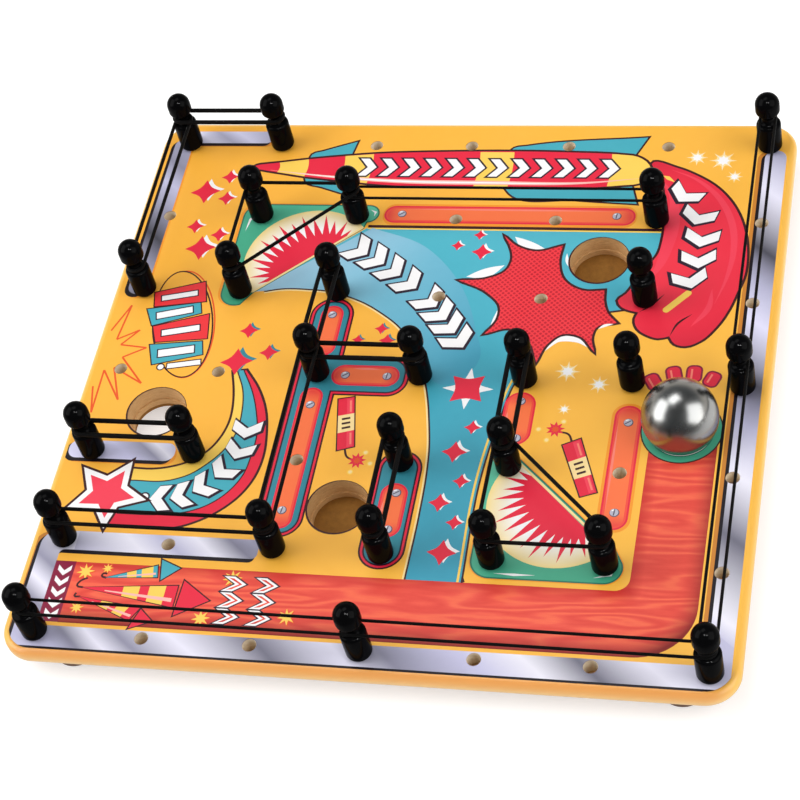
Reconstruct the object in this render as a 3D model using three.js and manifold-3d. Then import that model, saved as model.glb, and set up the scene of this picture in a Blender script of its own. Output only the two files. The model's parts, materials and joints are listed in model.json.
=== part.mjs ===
// Tilt maze game: a printed wooden board on rubber feet, with a square field of peg sockets,
// four ball holes, push-in pegs that carry elastic bands as walls, and one steel ball.
//
// Millimetres, +Z up, +X to the right and +Y to the back. The origin is the centre of the
// board's outline at table level, where the feet stand.

import * as THREE from 'three';
import { mergeVertices } from 'three/addons/utils/BufferGeometryUtils.js';
import Module from 'manifold-3d';

const wasm = await Module();
wasm.setup();

// ---------------------------------------------------------------- driving dimensions

const BOARD_WIDTH = 255; // along X
const BOARD_DEPTH = 254; // along Y
const BOARD_CORNER_RADIUS = 12;
const TOP_BOARD_THICKNESS = 6.25;
const EDGE_ROUNDING = 2.5; // on both edges of the top board
const OVERLAY_THICKNESS = 0.25;
const BOTTOM_BOARD_THICKNESS = 4;
const BOTTOM_BOARD_INSET = 4.5;

const FOOT_HEIGHT = 4;
const FOOT_RADIUS = 8.2;
const FOOT_CHAMFER = 0.8;
const FOOT_REACH_X = 106; // from the centre of the peg field
const FOOT_REACH_Y = 112.5;

const GRID_CELLS = 7; // sockets along each side of the field
const GRID_PITCH = 38.7;
const GRID_CENTRE_X = 1.6; // the field sits slightly off the board's centre
const GRID_CENTRE_Y = -1.9;

const SOCKET_RADIUS = 2.5;
const PEG_STEM_RADIUS = 2.2;
const PEG_STEM_LENGTH = 6;
const PEG_SEAT_GAP = 0.1; // the peg's round foot just clears the overlay
const PEG_LOBE_RADIUS = 4.6;
const PEG_SHOULDER_RADIUS = 4.1;
const PEG_NECK_RADIUS = 2.35;
const PEG_NECK_BOTTOM = 13.75; // heights above the playing surface
const PEG_NECK_TOP = 18.85;
const PEG_HEIGHT = 27.4;

const BAND_CLEARANCE = 0.3; // between a band and the peg's neck
const BAND_HEIGHTS = [14.65, 16.3, 17.95]; // centres of the places for bands on a neck
const THIN_BAND_RADIUS = 0.55;
const MIDDLE_BAND_RADIUS = 0.7;
const THICK_BAND_RADIUS = 0.8;

const BALL_RADIUS = 13.5;
const BALL_HOLE_RADIUS = 11.1;
const BALL_LIFT = 0.2; // clears the faceted rim of its hole

const PEG_SIDES = 10;
const BALL_HOLE_SIDES = 32;
const BALL_SIDES = 28;
const FOOT_SIDES = 20;

// Heights of the stacked layers.
const BOTTOM_BOARD_Z = FOOT_HEIGHT;
const TOP_BOARD_Z = BOTTOM_BOARD_Z + BOTTOM_BOARD_THICKNESS;
const OVERLAY_Z = TOP_BOARD_Z + TOP_BOARD_THICKNESS;
const SURFACE_Z = OVERLAY_Z + OVERLAY_THICKNESS;

// ---------------------------------------------------------------- layout of this maze

// Columns run left to right and rows run back to front, both from 0 to 6.
const PEG_ROWS = [
    [0, 1, 6],
    [1, 2, 5],
    [0, 1, 2, 5],
    [2, 3, 4, 5, 6],
    [0, 1, 3, 4],
    [0, 2, 3, 4, 5],
    [0, 3, 6],
];

// Ball holes are centred between sockets: offsets from the field's centre, in pitches.
const BALL_HOLES = [
    [-2.5, -0.5],
    [-0.5, -1.5],
    [1.5, 1.5],
    [2.5, -0.5],
];
const BLIND_HOLES = [1, 2]; // these end in a floor within the bottom board
const HOLE_FLOOR_THICKNESS = 1.5;
const BALL_HOLE_IN_USE = 3;

// Each band goes counter-clockwise, seen from above, round the pegs named by column, row and
// the place on the neck that it lies in.
const BANDS = [
    { name: 'band_back_left', radius: THICK_BAND_RADIUS, pegs: [[0, 0, 1], [1, 0, 1]] },
    { name: 'band_left_back', radius: MIDDLE_BAND_RADIUS, pegs: [[0, 0, 0], [0, 2, 0]] },
    { name: 'band_bumper_back', radius: MIDDLE_BAND_RADIUS, pegs: [[1, 1, 1], [1, 2, 1], [2, 1, 1]] },
    { name: 'band_cross_back', radius: THIN_BAND_RADIUS, pegs: [[2, 1, 0], [5, 1, 0]] },
    { name: 'band_centre_back', radius: THICK_BAND_RADIUS, pegs: [[2, 2, 1], [2, 3, 2]] },
    { name: 'band_centre_cross', radius: THICK_BAND_RADIUS, pegs: [[2, 3, 0], [3, 3, 0]] },
    { name: 'band_centre_front', radius: MIDDLE_BAND_RADIUS, pegs: [[2, 3, 1], [2, 5, 1]] },
    { name: 'band_left_short', radius: THICK_BAND_RADIUS, pegs: [[0, 4, 0], [1, 4, 0]] },
    { name: 'band_left_front', radius: MIDDLE_BAND_RADIUS, pegs: [[0, 5, 0], [2, 5, 0]] },
    { name: 'band_middle_short', radius: THICK_BAND_RADIUS, pegs: [[3, 4, 1], [3, 5, 1]] },
    { name: 'band_lane_side', radius: THICK_BAND_RADIUS, pegs: [[4, 3, 1], [4, 4, 1]] },
    { name: 'band_bumper_front', radius: MIDDLE_BAND_RADIUS, pegs: [[4, 4, 0], [4, 5, 1], [5, 5, 1]] },
    { name: 'band_front_long', radius: THIN_BAND_RADIUS, pegs: [[0, 6, 1], [6, 6, 0]] },
    { name: 'band_right_long', radius: THIN_BAND_RADIUS, pegs: [[6, 0, 1], [6, 6, 1]] },
];

const gridX = (column) => GRID_CENTRE_X + (column - (GRID_CELLS - 1) / 2) * GRID_PITCH;
const gridY = (row) => GRID_CENTRE_Y + ((GRID_CELLS - 1) / 2 - row) * GRID_PITCH;
const holeX = (hole) => GRID_CENTRE_X + hole[0] * GRID_PITCH;
const holeY = (hole) => GRID_CENTRE_Y + hole[1] * GRID_PITCH;

// ---------------------------------------------------------------- materials

const paint = (color, roughness, metalness) =>
    new THREE.MeshStandardMaterial({ color, roughness, metalness });

const fibreboard = () => paint(0xa5733f, 0.9, 0);
const printedFilm = () => paint(0xffc64e, 0.35, 0);
const blackPlastic = () => paint(0x0b0b0d, 0.2, 0);
const blackElastic = () => paint(0x121212, 0.75, 0);
const brownRubber = () => paint(0x4a332c, 0.8, 0);
const polishedSteel = () => paint(0xd8d8da, 0.06, 1);

// ---------------------------------------------------------------- solid helpers

function toSolid(geometry) {
    const bare = geometry.clone();
    bare.deleteAttribute('normal');
    bare.deleteAttribute('uv');
    const merged = mergeVertices(bare, 1e-4);
    return new wasm.Manifold(new wasm.Mesh({
        numProp: 3,
        vertProperties: Float32Array.from(merged.attributes.position.array),
        triVerts: Uint32Array.from(merged.index.array),
    }));
}

function toGeometry(solid) {
    const mesh = solid.getMesh();
    const geometry = new THREE.BufferGeometry();
    geometry.setAttribute('position', new THREE.BufferAttribute(mesh.vertProperties, 3));
    geometry.setIndex(new THREE.BufferAttribute(mesh.triVerts, 1));
    geometry.computeVertexNormals();
    return geometry;
}

// A rounded rectangle centred on the origin.
function roundedRectangle(width, depth, radius) {
    const x = width / 2;
    const y = depth / 2;
    const shape = new THREE.Shape();
    shape.moveTo(-x + radius, -y);
    shape.lineTo(x - radius, -y);
    shape.absarc(x - radius, -y + radius, radius, -Math.PI / 2, 0);
    shape.lineTo(x, y - radius);
    shape.absarc(x - radius, y - radius, radius, 0, Math.PI / 2);
    shape.lineTo(-x + radius, y);
    shape.absarc(-x + radius, y - radius, radius, Math.PI / 2, Math.PI);
    shape.lineTo(-x, -y + radius);
    shape.absarc(-x + radius, -y + radius, radius, Math.PI, Math.PI * 1.5);
    return shape;
}

// An upright cutter that runs well past both faces of a layer between two heights.
const CUTTER_OVERRUN = 2;

function cutter(x, y, radius, sides, low, high) {
    const length = high - low + 2 * CUTTER_OVERRUN;
    const cylinder = new THREE.CylinderGeometry(radius, radius, length, sides);
    cylinder.rotateX(Math.PI / 2);
    cylinder.translate(x, y, (low + high) / 2);
    return toSolid(cylinder);
}

function cut(solid, cutters) {
    return cutters.reduce((rest, tool) => rest.subtract(tool), solid);
}

function socketCutters(low, high) {
    const cutters = [];
    for (let row = 0; row < GRID_CELLS; row += 1) {
        for (let column = 0; column < GRID_CELLS; column += 1) {
            cutters.push(cutter(gridX(column), gridY(row), SOCKET_RADIUS, PEG_SIDES, low, high));
        }
    }
    return cutters;
}

function ballHoleCutter(hole, low, high) {
    return cutter(holeX(hole), holeY(hole), BALL_HOLE_RADIUS, BALL_HOLE_SIDES, low, high);
}

function ballHoleCutters(low, high) {
    return BALL_HOLES.map((hole) => ballHoleCutter(hole, low, high));
}

// ---------------------------------------------------------------- boards

function topBoardGeometry() {
    const slab = new THREE.ExtrudeGeometry(
        roundedRectangle(BOARD_WIDTH, BOARD_DEPTH, BOARD_CORNER_RADIUS),
        {
            depth: TOP_BOARD_THICKNESS - 2 * EDGE_ROUNDING,
            curveSegments: 5,
            bevelEnabled: true,
            bevelThickness: EDGE_ROUNDING,
            bevelSize: EDGE_ROUNDING,
            bevelOffset: -EDGE_ROUNDING,
            bevelSegments: 3,
        },
    );
    slab.translate(0, 0, EDGE_ROUNDING);
    const holes = [
        ...socketCutters(0, TOP_BOARD_THICKNESS),
        ...ballHoleCutters(0, TOP_BOARD_THICKNESS),
    ];
    return toGeometry(cut(toSolid(slab), holes));
}

// A flat sheet with square edges: inset from the board's outline, it keeps concentric corners.
function sheetGeometry(inset, thickness) {
    return new THREE.ExtrudeGeometry(
        roundedRectangle(
            BOARD_WIDTH - 2 * inset,
            BOARD_DEPTH - 2 * inset,
            BOARD_CORNER_RADIUS - inset,
        ),
        { depth: thickness, curveSegments: 5, bevelEnabled: false },
    );
}

function overlayGeometry() {
    const holes = [
        ...socketCutters(0, OVERLAY_THICKNESS),
        ...ballHoleCutters(0, OVERLAY_THICKNESS),
    ];
    return toGeometry(cut(toSolid(sheetGeometry(EDGE_ROUNDING, OVERLAY_THICKNESS)), holes));
}

// The bottom board closes the sockets from below. Two ball holes run on through it, and the
// blind ones stop at a thin floor.
function bottomBoardGeometry() {
    const sheet = toSolid(sheetGeometry(BOTTOM_BOARD_INSET, BOTTOM_BOARD_THICKNESS));
    const holes = BALL_HOLES.map((hole, index) => {
        const low = BLIND_HOLES.includes(index) ? HOLE_FLOOR_THICKNESS + CUTTER_OVERRUN : 0;
        return ballHoleCutter(hole, low, BOTTOM_BOARD_THICKNESS);
    });
    return toGeometry(cut(sheet, holes));
}

// ---------------------------------------------------------------- turned pieces

// A solid of revolution about Z from (radius, height) pairs.
function turned(profile, sides) {
    const points = profile.map(([radius, height]) => new THREE.Vector2(radius, height));
    const geometry = new THREE.LatheGeometry(points, sides);
    geometry.rotateX(Math.PI / 2);
    return geometry;
}

function footGeometry() {
    return turned([
        [0, 0],
        [FOOT_RADIUS - FOOT_CHAMFER, 0],
        [FOOT_RADIUS, FOOT_CHAMFER],
        [FOOT_RADIUS, FOOT_HEIGHT],
        [0, FOOT_HEIGHT],
    ], FOOT_SIDES);
}

// Stem in the socket, barrel-shaped lower lobe, neck for the bands, ball-shaped head.
function pegGeometry() {
    return turned([
        [0, -PEG_STEM_LENGTH],
        [PEG_STEM_RADIUS, -PEG_STEM_LENGTH],
        [PEG_STEM_RADIUS, PEG_SEAT_GAP],
        [PEG_LOBE_RADIUS * 0.72, PEG_SEAT_GAP],
        [PEG_LOBE_RADIUS, 1.9],
        [PEG_LOBE_RADIUS, 11.8],
        [PEG_SHOULDER_RADIUS, 13.2],
        [PEG_NECK_RADIUS, PEG_NECK_BOTTOM],
        [PEG_NECK_RADIUS, PEG_NECK_TOP],
        [PEG_SHOULDER_RADIUS, 19.4],
        [PEG_LOBE_RADIUS, 20.8],
        [PEG_LOBE_RADIUS, 23.2],
        [PEG_LOBE_RADIUS * 0.68, 26.6],
        [0, PEG_HEIGHT],
    ], PEG_SIDES);
}

function ballGeometry() {
    const ball = new THREE.SphereGeometry(BALL_RADIUS, BALL_SIDES, BALL_SIDES / 2);
    ball.rotateX(Math.PI / 2);
    return ball;
}

// ---------------------------------------------------------------- elastic bands

const ARC_STEPS = 6; // per half turn round a peg

// The closed line of a taut band: arcs round the pegs, joined by straight strands.
class BandPath extends THREE.Curve {
    constructor(stations) {
        super();
        this.stations = stations;
    }

    getPoint(t, target = new THREE.Vector3()) {
        const count = this.stations.length;
        const place = (t % 1) * count;
        const index = Math.floor(place);
        const from = this.stations[index % count];
        const to = this.stations[(index + 1) % count];
        return target.copy(from).lerp(to, place - index);
    }

    // The tube's rings stand exactly on the stations, so t isn't respaced by length.
    getUtoTmapping(u) {
        return u;
    }

    // Halfway between the strands before and after a station, so each ring mitres the bend.
    getTangent(t, target = new THREE.Vector3()) {
        const count = this.stations.length;
        const index = Math.round((t % 1) * count) % count;
        const before = this.stations[(index + count - 1) % count];
        const here = this.stations[index];
        const after = this.stations[(index + 1) % count];
        const incoming = here.clone().sub(before).normalize();
        const outgoing = after.clone().sub(here).normalize();
        return target.copy(incoming).add(outgoing).normalize();
    }
}

function bandStations(pegs, wrapRadius) {
    const centres = pegs.map(([column, row, place]) =>
        new THREE.Vector3(gridX(column), gridY(row), SURFACE_Z + BAND_HEIGHTS[place]));
    const stations = [];
    centres.forEach((centre, index) => {
        const before = centres[(index + centres.length - 1) % centres.length];
        const after = centres[(index + 1) % centres.length];
        const arrive = Math.atan2(centre.y - before.y, centre.x - before.x) - Math.PI / 2;
        const leave = Math.atan2(after.y - centre.y, after.x - centre.x) - Math.PI / 2;
        const turn = THREE.MathUtils.euclideanModulo(leave - arrive, 2 * Math.PI);
        const steps = Math.max(3, Math.round(turn / Math.PI * ARC_STEPS));
        for (let step = 0; step <= steps; step += 1) {
            const angle = arrive + turn * step / steps;
            stations.push(new THREE.Vector3(
                centre.x + wrapRadius * Math.cos(angle),
                centre.y + wrapRadius * Math.sin(angle),
                centre.z,
            ));
        }
    });
    return stations;
}

function bandGeometry(band) {
    const wrapRadius = PEG_NECK_RADIUS + BAND_CLEARANCE + band.radius;
    const stations = bandStations(band.pegs, wrapRadius);
    const sides = 6;
    return new THREE.TubeGeometry(new BandPath(stations), stations.length, band.radius, sides, true);
}

// ---------------------------------------------------------------- assembly

function piece(name, geometry, material, x = 0, y = 0, z = 0) {
    const mesh = new THREE.Mesh(geometry, material);
    mesh.name = name;
    mesh.position.set(x, y, z);
    return mesh;
}

const game = new THREE.Group();

const boards = new THREE.Group();
boards.add(piece('bottom_board', bottomBoardGeometry(), fibreboard(), 0, 0, BOTTOM_BOARD_Z));
boards.add(piece('top_board', topBoardGeometry(), fibreboard(), 0, 0, TOP_BOARD_Z));
boards.add(piece('printed_overlay', overlayGeometry(), printedFilm(), 0, 0, OVERLAY_Z));
game.add(boards);

const feet = new THREE.Group();
feet.position.set(GRID_CENTRE_X, GRID_CENTRE_Y, 0);
for (const [side, sx] of [['left', -1], ['right', 1]]) {
    for (const [end, sy] of [['front', -1], ['back', 1]]) {
        feet.add(piece(
            `foot_${end}_${side}`, footGeometry(), brownRubber(), sx * FOOT_REACH_X, sy * FOOT_REACH_Y,
        ));
    }
}
game.add(feet);

const pegs = new THREE.Group();
PEG_ROWS.forEach((columns, row) => {
    for (const column of columns) {
        pegs.add(piece(
            `peg_c${column}_r${row}`, pegGeometry(), blackPlastic(), gridX(column), gridY(row), SURFACE_Z,
        ));
    }
});
game.add(pegs);

const bands = new THREE.Group();
for (const band of BANDS) {
    bands.add(piece(band.name, bandGeometry(band), blackElastic()));
}
game.add(bands);

const ballHole = BALL_HOLES[BALL_HOLE_IN_USE];
const ballSeatHeight = Math.sqrt(BALL_RADIUS ** 2 - BALL_HOLE_RADIUS ** 2);
game.add(piece(
    'steel_ball', ballGeometry(), polishedSteel(),
    holeX(ballHole), holeY(ballHole), SURFACE_Z + ballSeatHeight + BALL_LIFT,
));

export default game;
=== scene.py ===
"""Looks of the tilt maze game: a printed fibreboard, turned plastic pegs, elastic bands and a steel ball.

Lengths in the artwork are millimetres from the centre of the peg field, x to the right and y to the
back. Everything else is in metres in the frame's own axes.
"""

import json
import math

import bpy
from mathutils import Matrix, Quaternion, Vector
from mathutils.geometry import delaunay_2d_cdt

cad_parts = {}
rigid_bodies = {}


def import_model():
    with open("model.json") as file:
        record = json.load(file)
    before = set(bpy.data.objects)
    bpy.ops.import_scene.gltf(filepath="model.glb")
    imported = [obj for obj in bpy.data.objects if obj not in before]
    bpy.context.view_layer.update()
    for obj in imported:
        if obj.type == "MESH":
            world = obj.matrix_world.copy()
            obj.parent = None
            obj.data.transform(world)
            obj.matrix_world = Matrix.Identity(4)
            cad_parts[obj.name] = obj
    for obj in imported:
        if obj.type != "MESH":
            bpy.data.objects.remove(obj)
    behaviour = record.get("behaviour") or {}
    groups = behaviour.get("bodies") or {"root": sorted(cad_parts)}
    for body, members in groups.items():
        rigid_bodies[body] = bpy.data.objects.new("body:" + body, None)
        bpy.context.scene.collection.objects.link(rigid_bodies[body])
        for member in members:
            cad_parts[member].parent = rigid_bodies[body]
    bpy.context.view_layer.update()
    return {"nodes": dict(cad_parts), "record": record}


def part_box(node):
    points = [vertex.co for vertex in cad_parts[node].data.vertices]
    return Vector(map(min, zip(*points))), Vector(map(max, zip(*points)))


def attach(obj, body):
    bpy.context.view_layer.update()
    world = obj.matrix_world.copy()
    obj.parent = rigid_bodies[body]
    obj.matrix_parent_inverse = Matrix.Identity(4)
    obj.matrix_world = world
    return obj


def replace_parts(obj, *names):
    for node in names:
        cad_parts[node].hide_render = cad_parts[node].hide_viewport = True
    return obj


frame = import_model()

# ---------------------------------------------------------------- measures taken from the frame

MM = 0.001


def middle(node):
    """The centre of a node's box."""
    low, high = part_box(node)
    return (low + high) / 2


corner_peg = middle("peg_c0_r0")
far_peg = middle("peg_c6_r6")
FIELD = (corner_peg + far_peg) / 2
PITCH = (far_peg.x - corner_peg.x) / 6 / MM
PLATE_LOW, PLATE_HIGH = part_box("top_board")
FILM_LOW, FILM_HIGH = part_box("printed_overlay")
BASE_LOW, BASE_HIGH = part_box("bottom_board")
SURFACE = FILM_HIGH.z
EDGE = 2.5  # rounding of the board's edge
CORNER = 12.0
BASE_INSET = (BASE_LOW.x - PLATE_LOW.x) / MM
SOCKET_RADIUS = 2.5
BALL_HOLE_RADIUS = 11.1
BALL_HOLES = [(-2.5, -0.5), (-0.5, -1.5), (1.5, 1.5), (2.5, -0.5)]  # in pitches from the centre
BLIND_HOLES = [1, 2]  # these end in a floor within the bottom board
HOLE_FLOOR = 1.5

BOARD_X = ((PLATE_LOW.x - FIELD.x) / MM, (PLATE_HIGH.x - FIELD.x) / MM)
BOARD_Y = ((PLATE_LOW.y - FIELD.y) / MM, (PLATE_HIGH.y - FIELD.y) / MM)


def place(x, y, z=SURFACE):
    """A point of the artwork in the frame."""
    return Vector((FIELD.x + x * MM, FIELD.y + y * MM, z))


def socket_centre(column, row):
    """The artwork place of a peg socket; column 0 is at the left and row 0 at the back."""
    return (column - 3) * PITCH, (3 - row) * PITCH


def hole_centre(index):
    return BALL_HOLES[index][0] * PITCH, BALL_HOLES[index][1] * PITCH


# ---------------------------------------------------------------- outlines


def arc(cx, cy, radius, start, end, radius_y=None, chord=0.04):
    """Points along an arc, angles in degrees, close enough for a chord error in millimetres."""
    widest = max(radius, radius_y or 0)
    turn = math.radians(end - start)
    step = 2 * math.acos(max(0.0, 1 - chord / widest))
    count = max(3, math.ceil(abs(turn) / step))
    points = []
    for i in range(count + 1):
        angle = math.radians(start) + turn * i / count
        points.append((cx + radius * math.cos(angle), cy + (radius_y or radius) * math.sin(angle)))
    return points


def circle(cx, cy, radius, chord=0.04):
    return arc(cx, cy, radius, 0, 360, chord=chord)[:-1]


def turned(points, angle, about=(0, 0)):
    c, s = math.cos(math.radians(angle)), math.sin(math.radians(angle))
    ox, oy = about
    return [(ox + (x - ox) * c - (y - oy) * s, oy + (x - ox) * s + (y - oy) * c) for x, y in points]


def moved(points, dx, dy):
    return [(x + dx, y + dy) for x, y in points]


def ellipse(cx, cy, a, b, angle=0):
    return turned(arc(cx, cy, a, 0, 360, b)[:-1], angle, (cx, cy))


def box(x0, y0, x1, y1, radius=0.0):
    """A rectangle with rounded corners."""
    if radius <= 0:
        return [(x0, y0), (x1, y0), (x1, y1), (x0, y1)]
    r = min(radius, (x1 - x0) / 2 - 1e-3, (y1 - y0) / 2 - 1e-3)
    return (
        arc(x1 - r, y0 + r, r, -90, 0)
        + arc(x1 - r, y1 - r, r, 0, 90)
        + arc(x0 + r, y1 - r, r, 90, 180)
        + arc(x0 + r, y0 + r, r, 180, 270)
    )


def area(points):
    total = 0.0
    for (x0, y0), (x1, y1) in zip(points, points[1:] + points[:1]):
        total += x0 * y1 - x1 * y0
    return total / 2


def counterclockwise(points):
    """The outline in that direction, which growing and cutting rely on."""
    return points if area(points) > 0 else points[::-1]


def grown(points, distance):
    """The outline moved outwards by a distance, with its mitres held short."""
    points = counterclockwise(points)
    result = []
    count = len(points)
    for i, (x, y) in enumerate(points):
        before = Vector(points[i - 1])
        here = Vector((x, y))
        after = Vector(points[(i + 1) % count])
        a = (here - before).normalized()
        b = (after - here).normalized()
        normal = Vector((a.y + b.y, -a.x - b.x))
        if normal.length < 1e-6:
            normal = Vector((a.y, -a.x))
        normal.normalize()
        stretch = 1 / max(0.45, normal.dot(Vector((a.y, -a.x))))
        result.append(tuple(here + normal * distance * stretch))
    return result


def smooth(points, closed=True, step=1.5):
    """A curve through the points. A point with a third value is a sharp corner."""
    count = len(points)
    last = count if closed else count - 1
    result = []

    def heading(i):
        here = Vector(points[i % count][:2])
        if len(points[i % count]) > 2 or (not closed and i in (0, count - 1)):
            return None
        ahead = Vector(points[(i + 1) % count][:2]) - here
        behind = here - Vector(points[(i - 1) % count][:2])
        if ahead.length < 1e-9 or behind.length < 1e-9:
            return None
        return (ahead.normalized() * behind.length + behind.normalized() * ahead.length).normalized()

    for i in range(last):
        a = Vector(points[i][:2])
        b = Vector(points[(i + 1) % count][:2])
        chord = (b - a).length
        leave, arrive = heading(i), heading(i + 1)
        leave = (b - a) if leave is None else leave * chord
        arrive = (b - a) if arrive is None else arrive * chord
        pieces = max(1, math.ceil(chord / step))
        if len(points[i]) > 2 and len(points[(i + 1) % count]) > 2:
            pieces = 1
        for k in range(pieces):
            t = k / pieces
            t2, t3 = t * t, t * t * t
            result.append(tuple(
                a * (2 * t3 - 3 * t2 + 1) + leave * (t3 - 2 * t2 + t)
                + b * (3 * t2 - 2 * t3) + arrive * (t3 - t2)
            ))
    if not closed:
        result.append(tuple(points[-1][:2]))
    return result


def ribbon(points, width, taper=False):
    """A stroke of a given width along open points, pointed at both ends if it tapers."""
    left, right = [], []
    last = len(points) - 1
    for i, (x, y) in enumerate(points):
        a = Vector(points[max(0, i - 1)])
        b = Vector(points[min(last, i + 1)])
        side = (b - a).normalized()
        half = width / 2
        if taper:
            half *= max(0.04, math.sin(math.pi * i / last))
        left.append((x - side.y * half, y + side.x * half))
        right.append((x + side.y * half, y - side.x * half))
    return left + right[::-1]


def stroke(points, width, step, taper=False):
    """A ribbon along a curve through open points."""
    return ribbon(smooth(points, closed=False, step=step), width, taper)


def star(cx, cy, spikes, outer, inner, angle=90.0):
    """A star with straight sides."""
    points = []
    for i in range(2 * spikes):
        radius = inner if i % 2 else outer
        turn = math.radians(angle + 180 * i / spikes)
        points.append((cx + radius * math.cos(turn), cy + radius * math.sin(turn)))
    return points


def sparkle(cx, cy, radius, angle=90.0, spikes=4, waist=0.45):
    """A star whose sides bend inwards."""
    points = []
    for i in range(spikes):
        tip = math.radians(angle + 360 * i / spikes)
        valley = math.radians(angle + 360 * i / spikes + 180 / spikes)
        points.append((cx + radius * math.cos(tip), cy + radius * math.sin(tip), 1))
        points.append((cx + radius * waist * math.cos(valley), cy + radius * waist * math.sin(valley)))
    return smooth(points, step=radius / 4)


def chevron(cx, cy, length, height, thickness, angle=0.0):
    """A plain arrowhead mark pointing along angle."""
    h = height / 2
    points = [
        (cx - length / 2, cy + h), (cx - length / 2 + thickness, cy + h), (cx + length / 2, cy),
        (cx - length / 2 + thickness, cy - h), (cx - length / 2, cy - h), (cx + length / 2 - thickness, cy),
    ]
    return turned(points, angle, (cx, cy))


# ---------------------------------------------------------------- node materials


def linear(colour, gain=1.0):
    """sRGB 0-255 to a linear colour with alpha."""
    result = []
    for value in colour:
        v = value / 255
        v = v / 12.92 if v <= 0.04045 else ((v + 0.055) / 1.055) ** 2.4
        result.append(min(1.0, v * gain))
    return (*result, 1.0)


def node(tree, kind, inputs=None, **settings):
    """A new node whose inputs are values or other nodes' outputs."""
    made = tree.nodes.new(kind)
    for key, value in settings.items():
        setattr(made, key, value)
    for key, value in (inputs or {}).items():
        if isinstance(value, bpy.types.NodeSocket):
            tree.links.new(value, made.inputs[key])
        else:
            made.inputs[key].default_value = value
    return made


def calc(tree, operation, a, b=0.0):
    return node(tree, "ShaderNodeMath", {0: a, 1: b}, operation=operation).outputs[0]


def weighted(tree, a, share_a, b, share_b):
    """The sum of a and b, each times its share."""
    first = calc(tree, "MULTIPLY", a, share_a)
    second = calc(tree, "MULTIPLY", b, share_b)
    return calc(tree, "ADD", first, second)


def mixed(tree, factor, a, b, blend="MIX"):
    inputs = {"Fac": factor, "Color1": a, "Color2": b}
    return node(tree, "ShaderNodeMixRGB", inputs, blend_type=blend).outputs[0]


def noise(tree, vector, scale, detail=2.0, roughness=0.5, distortion=0.0):
    inputs = {
        "Vector": vector, "Scale": scale, "Detail": detail, "Roughness": roughness, "Distortion": distortion,
    }
    return node(tree, "ShaderNodeTexNoise", inputs).outputs["Fac"]


def ramp(tree, factor, stops):
    made = node(tree, "ShaderNodeValToRGB", {"Fac": factor})
    elements = made.color_ramp.elements
    while len(elements) < len(stops):
        elements.new(0.5)
    for element, (position, colour) in zip(elements, stops):
        element.position = position
        element.color = colour
    return made.outputs["Color"]


def between(tree, value, low, high, start=0.0, end=1.0):
    """start at low, end at high, clamped."""
    inputs = {"Value": value, "From Min": low, "From Max": high, "To Min": start, "To Max": end}
    return node(tree, "ShaderNodeMapRange", inputs).outputs["Result"]


def new_tree(name):
    material = bpy.data.materials.new(name)
    material.use_nodes = True
    return material, material.node_tree


def finish(tree, colour, roughness, bump=None, height=0.0, metallic=0.0, coat=0.0, specular=0.5,
           coat_roughness=0.2):
    """Sets the shader; bump is a height map whose relief is height metres."""
    shader = tree.nodes["Principled BSDF"]
    values = {
        "Base Color": colour, "Roughness": roughness, "Metallic": metallic,
        "Coat Weight": coat, "Coat Roughness": coat_roughness, "Specular IOR Level": specular,
    }
    if bump is not None:
        made = node(tree, "ShaderNodeBump", {"Strength": 1.0, "Distance": height, "Height": bump})
        values["Normal"] = made.outputs["Normal"]
    for key, value in values.items():
        if isinstance(value, bpy.types.NodeSocket):
            tree.links.new(value, shader.inputs[key])
        else:
            shader.inputs[key].default_value = value


def object_metres(tree):
    return node(tree, "ShaderNodeTexCoord").outputs["Object"]


def artwork_mm(tree):
    """The artwork's x and y at a shaded point, in millimetres."""
    centred = node(
        tree, "ShaderNodeVectorMath",
        {0: object_metres(tree), 1: (FIELD.x, FIELD.y, SURFACE)}, operation="SUBTRACT",
    ).outputs[0]
    scaled = node(tree, "ShaderNodeVectorMath", {0: centred, "Scale": 1000.0}, operation="SCALE")
    split = node(tree, "ShaderNodeSeparateXYZ", {0: scaled.outputs[0]})
    return split.outputs[0], split.outputs[1]


PAPER = 0.86  # the brightest a printed surface gets


def printed(stops):
    """Ramp stops from places and sRGB colours."""
    return [(place_along, linear(colour, PAPER)) for place_along, colour in stops]


def film(tree, colour):
    """Laminated print: slightly mottled ink under a soft satin film with a faint ripple."""
    where = object_metres(tree)
    mottle = noise(tree, where, 260, 3, 0.6)
    deeper = mixed(tree, 1.0, colour, colour, "MULTIPLY")
    worn = mixed(tree, calc(tree, "MULTIPLY", mottle, 0.10), colour, deeper)
    ripple = noise(tree, where, 900, 2, 0.5)
    gloss = between(tree, noise(tree, where, 45, 3), 0.3, 0.7, 0.34, 0.48)
    finish(tree, worn, gloss, ripple, 0.00002, specular=0.35)


def plain_ink(name, colour):
    material, tree = new_tree(name)
    film(tree, node_colour(tree, linear(colour, PAPER)))
    return material


def node_colour(tree, colour):
    made = node(tree, "ShaderNodeRGB")
    made.outputs[0].default_value = colour
    return made.outputs[0]


def sloped_ink(name, stops, start, end):
    """Ink whose colour runs from one point of the artwork to another."""
    material, tree = new_tree(name)
    x, y = artwork_mm(tree)
    dx, dy = end[0] - start[0], end[1] - start[1]
    length = dx * dx + dy * dy
    along = weighted(tree, x, dx / length, y, dy / length)
    along = calc(tree, "SUBTRACT", along, (start[0] * dx + start[1] * dy) / length)
    film(tree, ramp(tree, along, printed(stops)))
    return material


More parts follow.
